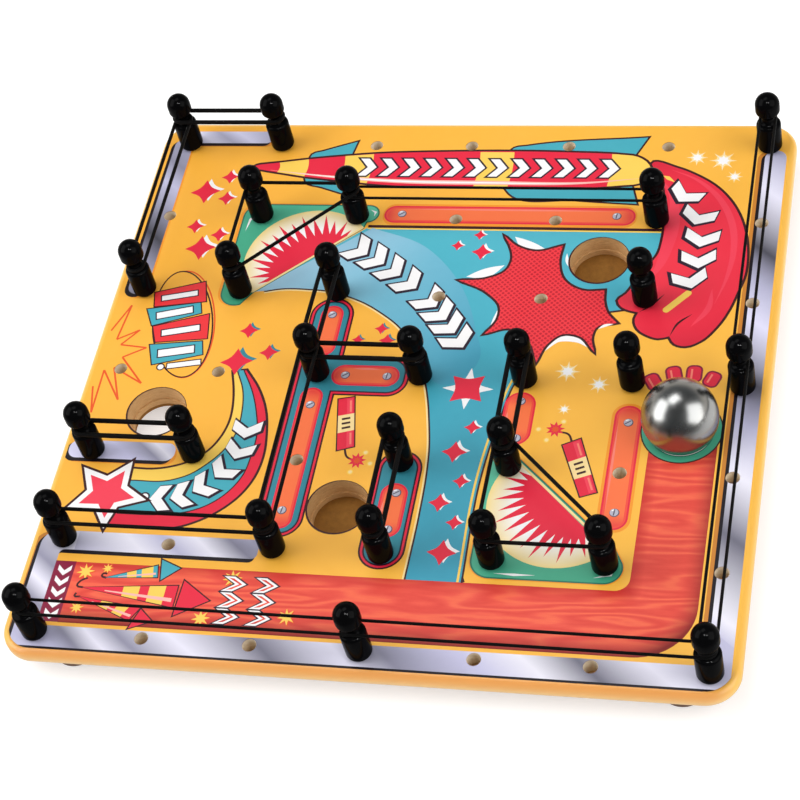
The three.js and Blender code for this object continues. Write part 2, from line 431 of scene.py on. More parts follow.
def round_ink(name, stops, centre, radius):
    """Ink whose colour runs outwards from a centre."""
    material, tree = new_tree(name)
    x, y = artwork_mm(tree)
    u = calc(tree, "SUBTRACT", x, centre[0])
    v = calc(tree, "SUBTRACT", y, centre[1])
    reach = calc(tree, "SQRT", calc(tree, "ADD", calc(tree, "MULTIPLY", u, u), calc(tree, "MULTIPLY", v, v)))
    film(tree, ramp(tree, calc(tree, "DIVIDE", reach, radius), printed(stops)))
    return material


def field_ink():
    """The warm yellow ground, a little deeper towards the front left."""
    material, tree = new_tree("ink_field")
    x, y = artwork_mm(tree)
    drift = weighted(tree, x, 0.0016, y, -0.0008)
    cloud = noise(tree, object_metres(tree), 18, 2)
    along = calc(tree, "ADD", calc(tree, "ADD", drift, 0.45), calc(tree, "MULTIPLY", cloud, 0.15))
    film(tree, ramp(tree, along, printed([(0.0, (255, 180, 58)), (1.0, (255, 196, 76))])))
    return material


def rail_ink(name, lengthwise, centre, tones):
    """Printed chrome whose bars slant across a rail.

    The rail runs lengthwise along x or y, with its centre line at centre on the other axis. The tones are
    places along it and their brightness, 0 to 255.
    """
    material, tree = new_tree(name)
    x, y = artwork_mm(tree)
    along, across, slope = (x, y, 1.23) if lengthwise == "x" else (y, x, 0.81)
    slant = calc(tree, "MULTIPLY", calc(tree, "SUBTRACT", across, centre), slope)
    wander = calc(tree, "MULTIPLY", calc(tree, "SUBTRACT", noise(tree, object_metres(tree), 14, 1), 0.5), 12)
    spot = calc(tree, "ADD", along, calc(tree, "ADD", slant, wander))
    first, last = tones[0][0], tones[-1][0]
    stops = []
    for where, level in tones:
        tint = linear((0.97 * level, 0.96 * level, min(255, 1.1 * level)), PAPER)
        stops.append(((where - first) / (last - first), tint))
    film(tree, ramp(tree, between(tree, spot, first, last), stops))
    return material


LANE_INNER = (86.2, -86.6)
LANE_WIDTH = 25.0


def lane_ink():
    """Coral boards: grain that runs across the picture in long loops, darker along the lane's edges."""
    material, tree = new_tree("ink_lane")
    x, y = artwork_mm(tree)
    right = calc(tree, "MAXIMUM", calc(tree, "SUBTRACT", x, LANE_INNER[0]), 0.0)
    down = calc(tree, "MAXIMUM", calc(tree, "SUBTRACT", LANE_INNER[1], y), 0.0)
    reach = calc(tree, "ADD", calc(tree, "MULTIPLY", right, right), calc(tree, "MULTIPLY", down, down))
    across = calc(tree, "SQRT", reach)
    where = node(tree, "ShaderNodeCombineXYZ", {0: calc(tree, "MULTIPLY", x, 0.16), 1: y}).outputs[0]
    warp = noise(tree, where, 0.085, 2, 0.45)
    rings = weighted(tree, y, 0.10, warp, 9.0)
    swing = calc(tree, "SINE", calc(tree, "MULTIPLY", rings, 2 * math.pi))
    wave = calc(tree, "MULTIPLY", calc(tree, "ADD", swing, 1.0), 0.5)
    fine = noise(tree, where, 1.3, 3, 0.6)
    grain = weighted(tree, wave, 0.60, fine, 0.40)
    wood = ramp(tree, grain, printed([(0.15, (228, 70, 56)), (0.55, (240, 88, 68)), (0.90, (250, 112, 76))]))
    inner = calc(tree, "SUBTRACT", 1.0, between(tree, across, 0.0, 4.5))
    outer = between(tree, across, LANE_WIDTH - 8, LANE_WIDTH)
    wood = mixed(tree, calc(tree, "MULTIPLY", inner, 0.75), wood, linear((198, 34, 30), PAPER))
    wood = mixed(tree, calc(tree, "POWER", outer, 1.6), wood, linear((138, 22, 14), PAPER))
    film(tree, wood)
    return material


def halftone_ink():
    """Crimson with a lattice of darker dots."""
    material, tree = new_tree("ink_halftone")
    x, y = artwork_mm(tree)
    dot_spacing = 2.1
    u = calc(tree, "MULTIPLY", calc(tree, "ADD", x, y), math.pi / dot_spacing)
    v = calc(tree, "MULTIPLY", calc(tree, "SUBTRACT", x, y), math.pi / dot_spacing)
    lattice = calc(tree, "MULTIPLY", calc(tree, "COSINE", u), calc(tree, "COSINE", v))
    dots = between(tree, calc(tree, "ABSOLUTE", lattice), 0.42, 0.62)
    film(tree, mixed(tree, dots, linear((242, 56, 66), PAPER), linear((196, 24, 44), PAPER)))
    return material


WHITE = (252, 250, 250)
PLAIN_INKS = {
    "rail_edge": (20, 12, 22),
    "navy": (44, 26, 46),
    "line": (62, 22, 26),
    "white": WHITE,
    "cream": (255, 226, 160),
    "crimson": (236, 36, 66),
    "red": (240, 52, 58),
    "wine": (140, 20, 60),
    "rose": (246, 66, 88),
    "salmon": (255, 136, 118),
    "pink": (255, 190, 180),
    "yellow": (255, 212, 92),
    "flare": (236, 88, 34),
    "teal": (72, 174, 190),
    "teal_dark": (52, 138, 154),
    "green_deep": (36, 120, 96),
    "steel": (190, 190, 205),
    "steel_dark": (92, 88, 104),
    "shade": (250, 158, 44),
    # painted shade: a deep orange strip beside the right rail
    "bronze": (206, 132, 48),
    "lamp_side": (248, 82, 66),
}
RAIL_INKS = {
    "rail_front": ("x", -114.5, [
        (-126, 214), (-117, 208), (-108, 150), (-98, 250), (-87, 158), (-68, 250), (-40, 124), (-10, 246),
        (7, 155), (34, 215), (53, 254), (73, 118), (96, 250), (122, 206),
    ]),
    "rail_branch": ("x", -78, [(-120, 190), (-91, 252), (-77, 200), (-64, 252), (-51, 146), (-44, 178)]),
    "rail_right": ("y", 118.3, [
        (-103, 206), (-94, 254), (-62, 118), (-38, 252), (-14, 206), (6, 100), (31, 240), (46, 195),
        (62, 82), (92, 248), (114, 194),
    ]),
    "rail_side": ("y", -119, [(36, 150), (52, 170), (67, 74), (94, 204), (105, 150), (119, 196)]),
    "rail_back": ("x", 120, [(-120, 214), (-111, 244), (-103, 192), (-95, 238), (-83, 192)]),
    "rail_stub": ("x", -38, [(-126, 236), (-107, 226), (-97, 166), (-91, 252), (-84, 216)]),
}
SLOPED_INKS = {
    "teal_field": ([(0.0, (84, 186, 204)), (0.5, (66, 170, 192)), (1.0, (60, 160, 186))], (0, 72), (20, -86)),
    "swath": ([(0.0, (168, 208, 230)), (0.45, (118, 190, 214)), (1.0, (58, 158, 186))], (-60, 60), (22, 2)),
    "green_back": (
        [(0.0, (60, 160, 124)), (0.5, (78, 184, 148)), (1.0, (96, 200, 166))], (-85, 34), (-33, 84),
    ),
    "green_front": (
        [(0.0, (96, 196, 162)), (0.5, (78, 180, 146)), (1.0, (66, 166, 132))], (32, -34), (80, -84),
    ),
}
GLOW = [(0.0, WHITE), (0.62, WHITE), (0.98, (252, 226, 150))]
ROUND_INKS = {
    "glow_back": (GLOW, (-54.5, 55.5), 26),
    "glow_front": (GLOW, (59, -53), 26.5),
    "swoosh": ([(0.0, (244, 54, 74)), (0.7, (240, 44, 68)), (1.0, (214, 26, 56))], (82, 62), 50),
}
INKS = {"field": field_ink(), "lane": lane_ink(), "halftone": halftone_ink()}
INKS.update((name, plain_ink("ink_" + name, colour)) for name, colour in PLAIN_INKS.items())
INKS.update((name, rail_ink("ink_" + name, *rail)) for name, rail in RAIL_INKS.items())
INKS.update((name, sloped_ink("ink_" + name, *slope)) for name, slope in SLOPED_INKS.items())
INKS.update((name, round_ink("ink_" + name, *disc)) for name, disc in ROUND_INKS.items())

# ---------------------------------------------------------------- the printed artwork

LAYERS = []  # from the bottom up: outline, ink, sheet


def paint(sheet, ink, outline):
    """Lays a filled outline over everything painted before it."""
    LAYERS.append((counterclockwise([tuple(p[:2]) for p in outline]), ink, sheet))


def paint_lined(sheet, ink, outline, width, line="line"):
    """An outline filled with ink inside a rim of another ink."""
    paint(sheet, line, grown(outline, width))
    paint(sheet, ink, outline)


def draw_field():
    low_x, low_y = (FILM_LOW.x - FIELD.x) / MM, (FILM_LOW.y - FIELD.y) / MM
    high_x, high_y = (FILM_HIGH.x - FIELD.x) / MM, (FILM_HIGH.y - FIELD.y) / MM
    paint("print_field", "field", box(low_x, low_y, high_x, high_y, CORNER - EDGE))


def draw_rails():
    """A printed frame of chrome along the front and right, with shorter rails at the left and back."""
    frame_rail = (
        arc(-122.3, -119, 3, 180, 270)
        + arc(117.3, -117, 5, -90, 0)
        + arc(118.25, 110, 4.05, 0, 180)
        + arc(112.2, -111.5, 2, 0, -90)
        + arc(-115.3, -111.5, 2, 270, 180)
        + arc(-115.3, -84, 2, 180, 90)
        + arc(-46.5, -80, 2, -90, 0)
        + arc(-46.5, -76, 2, 0, 90)
        + arc(-119.3, -80, 6, 90, 180)
    )
    right = arc(118.25, 110, 4.05, 0, 180) + [(114.2, -99.7), (122.3, -106.2)]
    side = box(-124, 36.3, -116.3, 119, 3.8)
    back = box(-120, 116.8, -83, 123.3, 2.5)
    stub = box(-126.5, -42, -85.3, -34, 3.5)
    # Painted shade: the frame moved to the left leaves a deep orange strip beside the right rail.
    paint("print_rails", "bronze", moved(frame_rail, -2.3, -0.2))
    for outline in (side, back, stub):
        paint("print_rails", "shade", moved(grown(outline, 0.7), 0.5, -0.9))
    for outline in (frame_rail, side, back, stub):
        paint("print_rails", "rail_edge", moved(grown(outline, 0.3), -0.6, -0.95))
    branch = [(-112, -82)] + arc(-46.5, -80, 2, -90, 0) + arc(-46.5, -76, 2, 0, 90) + [(-112, -74)]
    rails = [
        (frame_rail, "rail_front"), (branch, "rail_branch"), (right, "rail_right"), (side, "rail_side"),
        (back, "rail_back"), (stub, "rail_stub"),
    ]
    for outline, ink in rails:
        paint("print_rails", ink, moved(outline, 0.35, 0.35))


def draw_lane():
    lane = (
        [(-109.4, -111.7)]
        + arc(89.7, -91.7, 20, -90, 0)
        + [(109.7, -24), (86.2, -24)]
        + arc(81.2, -81.6, 5, 0, -90)
        + [(-109.4, -86.6)]
    )
    paint("print_lane", "lane", lane)
    paint("print_start", "wine", box(-117, -111.6, -109.3, -86.5))
    for i in range(5):
        paint("print_start", "white", chevron(-112.9, -90.4 - 4.5 * i, 4.4, 5.0, 2.1, -90))
    bursts = [
        (-104.8, -90.5, 3.4), (-97, -88.7, 2.1), (-104.1, -105.3, 2.6),
        (-50.6, -90.1, 3.6), (-58.3, -106.8, 3.4), (-28.1, -104.2, 3.4),
    ]
    for x, y, radius in bursts:
        paint("print_start", "flare", star(x + 0.3, y - 0.3, 8, radius * 1.06, radius * 0.5, 100))
        paint("print_start", "yellow", star(x, y, 8, radius, radius * 0.42, 100))
    for i in range(3):
        for x in (-38, -49.5):
            mark = chevron(x, -92.2 - 6.6 * i, 8.6, 6.0, 4.0)
            paint_lined("print_start", "white", mark, 0.5, "navy")
            paint("print_start", "lane", grown(mark, -0.8))


def draw_small_rockets():
    sheet = "print_rockets"

    def rocket(tip, tail_upper, tail_lower, head, body, stripes, hook):
        """A tapering body from its tip, stripes across it as shares of its length, and a head."""

        def across(t):
            a = Vector(tip).lerp(Vector(tail_upper), t)
            b = Vector(tip).lerp(Vector(tail_lower), t)
            return tuple(a), tuple(b)

        shape = [tip, tail_lower, tail_upper]
        paint(sheet, "line", grown(shape, 0.45))
        paint(sheet, "line", grown(head, 0.5))
        paint(sheet, "line", stroke(hook, 0.8, 1))
        paint(sheet, body, shape)
        for start, end in stripes:
            a, b = across(start)
            c, d = across(end)
            paint(sheet, "yellow", [a, b, d, c])
        a, b = across(0.25)
        c, d = across(0.97)
        low = [tuple(Vector(p).lerp(Vector(q), 0.22)) for p, q in ((b, a), (d, c))]
        high = [tuple(Vector(p).lerp(Vector(q), 0.40)) for p, q in ((b, a), (d, c))]
        paint(sheet, "pink", [low[0], low[1], high[1], high[0]])
        paint(sheet, body, head)

    rocket(
        (-97, -92.5), (-79, -86.4), (-78, -91.2), [(-76.5, -92.3), (-70.5, -87), (-78, -83.9)],
        "teal", [(0.42, 0.60), (0.70, 0.92)],
        [(-96.5, -92.6), (-98.4, -91.8), (-98, -90.8), (-96.6, -90.9)],
    )
    rocket(
        (-104.5, -97), (-69.5, -94.2), (-69.5, -103), [(-68.5, -106.3), (-57, -99.5), (-67.7, -92)],
        "crimson", [(0.44, 0.61), (0.71, 0.88)],
        [(-104, -97), (-106.4, -96.4), (-105.6, -94.4), (-103.3, -93)],
    )
    rocket(
        (-104.5, -100.8), (-81, -104), (-84, -109.3), [(-83.3, -112.5), (-75.5, -109), (-80.5, -104.5)],
        "crimson", [(0.38, 0.56), (0.66, 0.84)],
        [(-104, -100.8), (-106.2, -100.6), (-105.8, -99.4)],
    )


TEAL_ARC = [
    (-68.5, 39.6, 1), (-62, 41), (-50, 41), (-44, 40.5), (-35, 38), (-28, 35), (-20, 30), (-12, 23.5),
    (-4, 11.5), (2, -1), (4.5, -9), (7, -20), (9, -31), (10, -42), (10.5, -60), (10.2, -86.6, 1),
]


def draw_teal_field():
    sheet = "print_teal"
    lower = smooth(TEAL_ARC, closed=False, step=2)
    right_side = smooth([
        (29.3, -86.6, 1), (29, -42), (30, -30), (32, -15), (33, -8), (34.3, -2), (36, 3), (41.3, 8.7, 1),
    ], closed=False, step=2)
    upper = [(44, 30), (60, 32.5), (71.8, 34.7), (79.8, 60), (79.8, 72.5), (-34, 72.5), (-73, 39)]
    field = lower + right_side + upper
    paint(sheet, "cream", ribbon(lower, 2.6))
    paint(sheet, "line", ribbon(lower, 1.3))
    paint(sheet, "line", ribbon([(30.1, -86.6)] + right_side[1:], 1.4))
    paint(sheet, "line", box(-34, 72.3, 80.5, 73.9))
    paint(sheet, "line", ribbon([(60, 32.2), (72, 34.5)], 1.2))
    paint(sheet, "teal_field", field)
    paint(sheet, "yellow", ribbon(moved(right_side, -1.1, 0), 0.8))
    paint(sheet, "yellow", box(-34, 71.8, 79.8, 72.5))
    outer = [(17, 2), (20, 8), (16, 25), (10, 40), (2, 52), (-10, 63.5), (-32, 72.4, 1), (-73, 39, 1)]
    inner = [p for p in TEAL_ARC if p[1] > 1.9]
    paint(sheet, "swath", smooth(inner + [(1.2, 1.5, 1), (9, -3)] + outer, step=2))


def draw_turn_marks():
    """Plain marks along the curved lane, in the rhythm of a sign."""
    sheet = "print_teal_marks"
    marks = [
        (-35.5, 61.5, -35), (-28, 57, -36), (-20.5, 51.5, -38), (-13, 45.5, -41),
        (-3.5, 37, -45), (1.5, 31, -48), (6, 25, -51), (10.5, 18.5, -54),
    ]
    for x, y, angle in marks:
        mark = chevron(x, y, 9.4, 12.4, 5.0, angle)
        paint(sheet, "navy", moved(grown(mark, 0.75), 0.35, -0.45))
        paint_lined(sheet, "white", mark, 0.6, "navy")


def draw_burst():
    """A jagged flash; one of its sides bends round the ball hole beside it."""
    sheet = "print_burst"
    outline = smooth([
        (20.3, 69.3, 1), (26, 64.2), (33.5, 61.8), (43.3, 64.8, 1), (43, 57), (46.5, 47.5), (54, 43),
        (61.8, 43.3, 1), (62.3, 38), (64, 33), (68.2, 28, 1), (61, 25.5), (60, 21), (61.7, 14.2, 1),
        (55, 21.5), (49, 22), (44, 17), (41.3, 8.7, 1), (37.5, 18), (30, 24), (20.2, 21.3, 1), (24, 28),
        (24, 34), (18, 41), (6.3, 46.8, 1), (17, 48), (23.5, 52), (25, 58), (23.5, 63.5),
    ], step=1.2)
    echoes = [
        [(24.5, 68.8), (30, 64.6), (36.5, 63.2)], [(9, 48.6), (16, 50.6), (22.5, 54.5)],
        [(43.5, 14), (48, 20.4), (55, 20.2), (60.4, 15.5)], [(21.8, 23), (24.6, 29), (24, 35)],
    ]
    gleams = [[(45.4, 61), (46, 57), (47.6, 53.6)], [(61.8, 25), (64, 26.6), (67, 27.4)]]
    for line in echoes:
        paint(sheet, "white", stroke(line, 4.4, 0.8, taper=True))
    paint_lined(sheet, "halftone", outline, 0.95)
    for line in gleams:
        paint(sheet, "white", stroke(line, 1.2, 0.8, taper=True))


def draw_swoosh():
    """A broad curved mark with rounded ends, streaked along its bend."""
    sheet = "print_swoosh"
    outline = smooth([
        (72, 107), (82, 105), (90, 101), (97, 96), (103.5, 88.5), (108, 80), (110.5, 72), (112.2, 59),
        (112, 52), (110, 43.5), (108, 36), (104, 27), (99, 20.5), (94, 18), (90, 19), (87.8, 22.4, 1),
        (84, 21.3), (80, 22.5), (76, 25.5), (74.5, 30), (75.4, 33.2, 1), (72, 34), (69, 35.5), (67.3, 38.5),
        (70, 42), (74, 51), (77.3, 57), (79.3, 61), (80.3, 68), (80.3, 76), (79.5, 85), (78.3, 94),
        (75.5, 101), (72.5, 104),
    ], step=2)
    paint_lined(sheet, "swoosh", outline, 1.0)
    streaks = [
        ([(80, 104), (90, 99), (99, 90), (105.2, 77), (107, 63), (105.6, 50), (102.5, 38)], 2.6),
        ([(76.5, 99), (81.8, 90), (83.4, 78), (82.6, 67), (80.6, 56), (76, 46)], 5.0),
        ([(101, 45), (100.5, 36), (95, 27)], 2.2),
        ([(81, 46), (79.5, 39), (77, 36)], 1.8),
    ]
    for line, width in streaks:
        paint(sheet, "rose", stroke(line, width, 1.5, taper=True))
    paint(sheet, "yellow", ribbon([(77, 101), (79, 99.8), (82, 97.5)], 1.8, taper=True))
    paint(sheet, "yellow", turned(box(82.2, 37.5, 95.6, 40.1, 1.3), 49, (89, 38.8)))
    paint(sheet, "line", stroke([(88, 22.6), (90, 28), (95, 33)], 0.9, 1, taper=True))
    paint(sheet, "line", stroke([(75.5, 33.2), (79, 36), (84, 42)], 0.9, 1, taper=True))
    marks = [(86.5, 91.5, 60), (92.6, 80.5, 74), (94.8, 69.6, 84), (94.6, 59.2, 94), (92.4, 49.4, 104)]
    for x, y, angle in marks:
        mark = chevron(x, y, 8.8, 12.6, 4.8, angle + 180)
        paint(sheet, "navy", moved(grown(mark, 0.85), -0.5, -0.4))
        paint(sheet, "white", mark)


ROCKET_TOP = [
    (-87.3, 104.2), (-86.2, 105), (-83, 105.7), (-77.3, 106.5), (-65.7, 108.4), (-50, 110.4),
    (-42, 111.3), (-10, 112.9), (42, 112.8), (60, 111.8), (66, 110.8), (71, 106.6),
]
ROCKET_LOW = [
    (72.2, 103), (71.2, 98.8), (68, 96.7), (62, 95.8), (52, 94.7), (15, 94.4), (-35, 95.3), (-52.2, 97.4),
    (-65, 99.1), (-76.3, 101.2), (-83.6, 102.6), (-86.6, 103.4),
]


def rocket_edges(x):
    """The rocket's lower and upper edge at x."""

    def along(points):
        points = sorted(points)
        for (x0, y0), (x1, y1) in zip(points, points[1:]):
            if x0 <= x <= x1:
                return y0 + (y1 - y0) * (x - x0) / (x1 - x0)
        return points[0][1] if x < points[0][0] else points[-1][1]

    return along(ROCKET_LOW), along(ROCKET_TOP)


def draw_big_rocket():
    sheet = "print_rocket"
    body = smooth(ROCKET_TOP + ROCKET_LOW, step=2.5)
    fins = [
        [(-65, 108.4, 1), (-64.5, 111), (-60, 113), (-47, 118.2, 1), (-48.2, 110.5, 1)],
        [(-65, 99.4, 1), (-64, 96.3), (-57, 93.6), (-47, 90, 1), (-50, 97, 1)],
        [(15.5, 112.8, 1), (17, 115), (22, 116.2), (69, 121, 1), (65, 111.5, 1)],
        [(16, 94.6, 1), (19, 90.8), (45, 88), (68.5, 86.3, 1), (65.5, 96, 1)],
    ]
    for fin in fins:
        paint_lined(sheet, "teal", smooth(fin, step=2), 0.8)
    paint_lined(sheet, "crimson", body, 1.0)
    bow = 0.6

    def across(x):
        """A bowed line across the body at x, from its lower to its upper edge."""
        low, high = rocket_edges(x)
        return [(x + bow * math.sin(math.pi * i / 8), low + (high - low) * (i / 8)) for i in range(9)]

    for start, end in [(-77, -65.3), (-50.5, -39), (4, 17.5)]:
        paint(sheet, "yellow", across(start) + across(end)[::-1])
    cap_x, cap_y = 56, 103.5
    cap = [p for p in body if p[0] > cap_x + bow]
    cap.sort(key=lambda p: math.atan2(p[1] - cap_y, p[0] - cap_x))
    paint(sheet, "yellow", grown(across(cap_x)[::-1] + cap, -0.02))
    gleam = smooth([(-80, 102.4), (-52, 98.9), (-30, 97.2), (10, 96.5), (48, 96.9), (69, 99.5)], False, 3)
    paint(sheet, "pink", ribbon(gleam, 2.2, taper=True))
    paint(sheet, "white", ribbon(gleam[3:-8], 0.9, taper=True))
    for i in range(12):
        x = -40.2 + 8.75 * i
        paint_lined(sheet, "white", chevron(x, 104.4, 7.2, 9.2, 3.6), 0.75, "navy")


def screw(sheet, x, y, angle):
    """A printed screw head with a slot."""
    paint(sheet, "steel_dark", circle(x + 0.15, y - 0.15, 1.75))
    paint(sheet, "steel", circle(x, y, 1.5))
    paint(sheet, "white", ribbon([(x - 0.9, y + 0.7), (x + 0.1, y + 1.1)], 0.5))
    slot = box(x - 1.3, y - 0.22, x + 1.3, y + 0.22)
    paint(sheet, "steel_dark", turned(slot, angle, (x, y)))


def lamp_bar(sheet, x0, y0, x1, y1, screws):
    """A glossy bar with deep ends, a shine along one side and printed screws."""
    r = min(x1 - x0, y1 - y0) / 2
    if y1 - y0 > x1 - x0:
        ends = (0, y0), (0, y1)
        shine = [(x0 + 1.6, y0 + r * 1.6), (x0 + 1.6, y1 - r * 1.6)]
    else:
        ends = (x0, 0), (x1, 0)
        shine = [(x0 + r * 1.6, y1 - 1.6), (x1 - r * 1.6, y1 - 1.6)]
    reach = 6.5 / max(x1 - x0, y1 - y0)
    glow, deep = (255, 122, 70), (238, 44, 62)
    ink = f"lamp_{len(INKS)}"
    stops = [(0.0, deep), (reach, glow), (1 - reach, glow), (1.0, deep)]
    INKS[ink] = sloped_ink("ink_" + ink, stops, *ends)
    for inset, tone in ((0, "crimson"), (0.7, "lamp_side"), (1.5, ink)):
        paint(sheet, tone, box(x0 + inset, y0 + inset, x1 - inset, y1 - inset, r))
    a, b = Vector(shine[0]), Vector(shine[1])
    paint(sheet, "salmon", ribbon([tuple(a.lerp(b, i / 8)) for i in range(9)], 0.9, taper=True))
    for i, (x, y) in enumerate(screws):
        screw(sheet, x, y, 35 + 50 * i)


def draw_bars():
    """Frames of lamp bars beside the walls."""
    sheet = "print_bars"
    paint(sheet, "shade", box(-29.2, 73.9, 69.5, 85, 5))
    lamp_bar(sheet, -28.7, 75.2, 69, 84, [(-21.8, 80), (61.7, 80)])
    paint(sheet, "line", grown(box(-47, -71.5, -31.5, 36, 7.7), 0.7))
    paint(sheet, "line", grown(box(-41, -8.4, -5, 8.9, 7), 0.7))
    paint(sheet, "crimson", box(-47, -71.5, -31.5, 36, 7.7))
    paint(sheet, "crimson", box(-41, -8.4, -5, 8.9, 7))
    paint(sheet, "navy", box(-46.2, -70.7, -32.3, 35.2, 6.9))
    paint(sheet, "navy", box(-41, -7.6, -5.8, 8.1, 6.2))
    paint(sheet, "teal_dark", box(-45.6, -70.1, -32.9, 34.6, 6.3))
    paint(sheet, "teal_dark", box(-40, -7, -6.4, 7.5, 5.6))
    lamp_bar(sheet, -43.6, 9, -34.9, 33, [(-39.3, 28.8)])
    lamp_bar(sheet, -43.6, -68.5, -34.9, -6, [(-39, -13.7), (-39.5, -60.5)])
    lamp_bar(sheet, -33.7, -4.5, -8, 5, [(-28.6, 0.4), (-12.8, 0.4)])
    for grow, ink in ((0.7, "line"), (0, "crimson"), (-0.8, "navy"), (-1.4, "teal_dark")):
        paint(sheet, ink, box(-8 - grow, -82.5 - grow, 7.2 + grow, -33.5 + grow, 7.5 + grow))
    lamp_bar(sheet, -5.2, -70, 4.6, -47, [(0.3, -51), (0, -66.5)])
    paint(sheet, "shade", box(71.7, -63.6, 83.5, -8.6, 5.5))
    lamp_bar(sheet, 72.7, -62.5, 82.5, -9.5, [(77.7, -16.8), (77.5, -55.2)])
    lamp_bar(sheet, 32.7, -28.6, 44, -5, [(38.3, -9), (39, -25.4)])


def half_sun(sheet, glow, centre, radius, side_angle):
    """A half disc whose crimson core throws spikes towards its round side."""
    cx, cy = centre
    paint(sheet, glow, arc(cx, cy, radius, side_angle, side_angle + 180))
    core = []
    spikes = 15
    for i in range(spikes + 1):
        a = math.pi * i / spikes
        core.append((cx + 16.5 * math.cos(a), cy + 10.4 * math.sin(a)))
        if i < spikes:
            a = math.pi * (i + 0.5) / spikes
            reach = radius * (0.92 if i % 2 else 0.84)
            core.append((cx + reach * math.cos(a), cy + reach * math.sin(a)))
    paint(sheet, "crimson", turned(core, side_angle, centre))


def draw_back_bumper():
    sheet = "print_bumper_back"
    shape = (
        arc(-35.2, 79.6, 4, -90, 90)
        + arc(-79, 77.6, 6, 90, 180)
        + arc(-79, 38.5, 6, 180, 290)
        + [(-73.2, 38.6), (-36, 72.2)]
    )
    paint(sheet, "shade", moved(grown(shape, 1.0), -0.7, 0.2))
    paint_lined(sheet, "green_back", shape, 0.6, "green_deep")
    half_sun(sheet, "glow_back", (-54.5, 55.5), 25.5, 41.7)
    paint(sheet, "cream", ribbon([(-73.2, 38.9), (-36, 72.4)], 0.9))
    paint(sheet, "white", ribbon([(-83, 70), (-82.3, 76), (-79, 80.3)], 1.1, taper=True))
    paint(sheet, "white", ribbon([(-34.5, 81.8), (-32.3, 80.5), (-32.6, 78.4)], 1.1, taper=True))


def draw_front_bumper():
    sheet = "print_bumper_front"
    shape = (
        arc(77, -78, 5.8, -90, 20)
        + [(79.5, -70.5), (40.2, -33.5)]
        + arc(36.6, -38.6, 4.9, 60, 180)
        + arc(38.4, -77, 6.8, 180, 270)
    )
    paint(sheet, "shade", grown(shape, 1.0))
    paint_lined(sheet, "green_front", shape, 0.6, "green_deep")
    half_sun(sheet, "glow_front", (59, -53), 26, 135.8)
    paint(sheet, "cream", ribbon([(40.2, -34.4), (78.8, -71)], 0.9))
    paint(sheet, "white", ribbon([(33.4, -70), (34, -75), (37.3, -79.6)], 1.1, taper=True))
    paint(sheet, "white", ribbon([(40, -82.2), (47, -82.4), (54, -82.2)], 1.0, taper=True))
    paint(sheet, "white", ribbon([(74, -82), (79.5, -80.5), (81.2, -76)], 1.1, taper=True))


CRESCENT_OUTER = [
    (-66.5, 1.5, 1), (-60, -7), (-55, -17), (-52.3, -28), (-51.3, -38), (-52.5, -47), (-56, -55), (-62, -62),
    (-70, -67.5), (-76, -70), (-88, -70.6), (-103, -70.3, 1),
]
CRESCENT_RED = [
    (-67.6, 1, 1), (-62, -9), (-58.5, -18), (-56, -28), (-56, -38), (-57, -46), (-61, -54), (-68, -60.5),
    (-75, -63.5), (-84, -65), (-100, -65.3, 1),
]
CRESCENT_TEAL = [
    (-70, 0.5, 1), (-66, -8), (-64, -18), (-64, -28), (-67, -36), (-72, -42.5), (-77, -47), (-84, -50),
    (-99, -50.7, 1),
]
CRESCENT_INNER = [
    (-72, 0.5, 1), (-69.5, -8), (-68, -16), (-67.7, -22), (-69, -29), (-72.5, -36), (-78, -41), (-85, -44),
    (-92, -45.3), (-99, -45.2, 1),
]


def draw_crescent():
    """A banded crescent with plain marks along it, ending in a star."""
    sheet = "print_crescent"
    outer, red, teal, inner = (
        smooth(points, closed=False, step=2)
        for points in (CRESCENT_OUTER, CRESCENT_RED, CRESCENT_TEAL, CRESCENT_INNER)
    )
    paint(sheet, "line", grown(outer + inner[::-1], 0.5))
    paint(sheet, "crimson", grown(outer + inner[::-1], -0.45))
    paint(sheet, "teal", red + grown_line(inner, 0.4)[::-1])
    paint(sheet, "yellow", teal + grown_line(inner, 0.4)[::-1])
    paint(sheet, "line", ribbon(red, 0.5))
    paint(sheet, "line", ribbon(teal, 0.5))
    marks = [
        (-60.3, -26, -92), (-61, -35.5, -103), (-65, -44.5, -124), (-71, -51.8, -140), (-78, -56.3, -158),
        (-85.5, -58, -172),
    ]
    for x, y, angle in marks:
        mark = chevron(x, y, 8.0, 10.8, 4.4, angle)
        paint(sheet, "navy", moved(grown(mark, 0.7), 0.5, -0.3))
        paint(sheet, "white", mark)
    paint_lined(sheet, "white", circle(-91.5, -57.6, 1.4), 0.6, "navy")
    rim = [
        (-118, -45.8), (-108, -49.3), (-100, -42.3), (-99.3, -53.3), (-90.5, -59), (-100.5, -62.5),
        (-103.3, -72.2), (-108.8, -63.8), (-119.7, -64), (-114, -55.8),
    ]
    middle_x = sum(x for x, _ in rim) / len(rim)
    middle_y = sum(y for _, y in rim) / len(rim)
    heart = [(middle_x + (x - middle_x) * 0.7, middle_y + (y - middle_y) * 0.7) for x, y in rim]
    paint_lined(sheet, "white", rim, 1.0)
    paint(sheet, "rose", heart)


def grown_line(points, distance):
    """An open line moved to its left by a distance."""
    result = []
    last = len(points) - 1
    for i, (x, y) in enumerate(points):
        side = (Vector(points[min(last, i + 1)]) - Vector(points[max(0, i - 1)])).normalized()
        result.append((x - side.y * distance, y + side.x * distance))
    return result


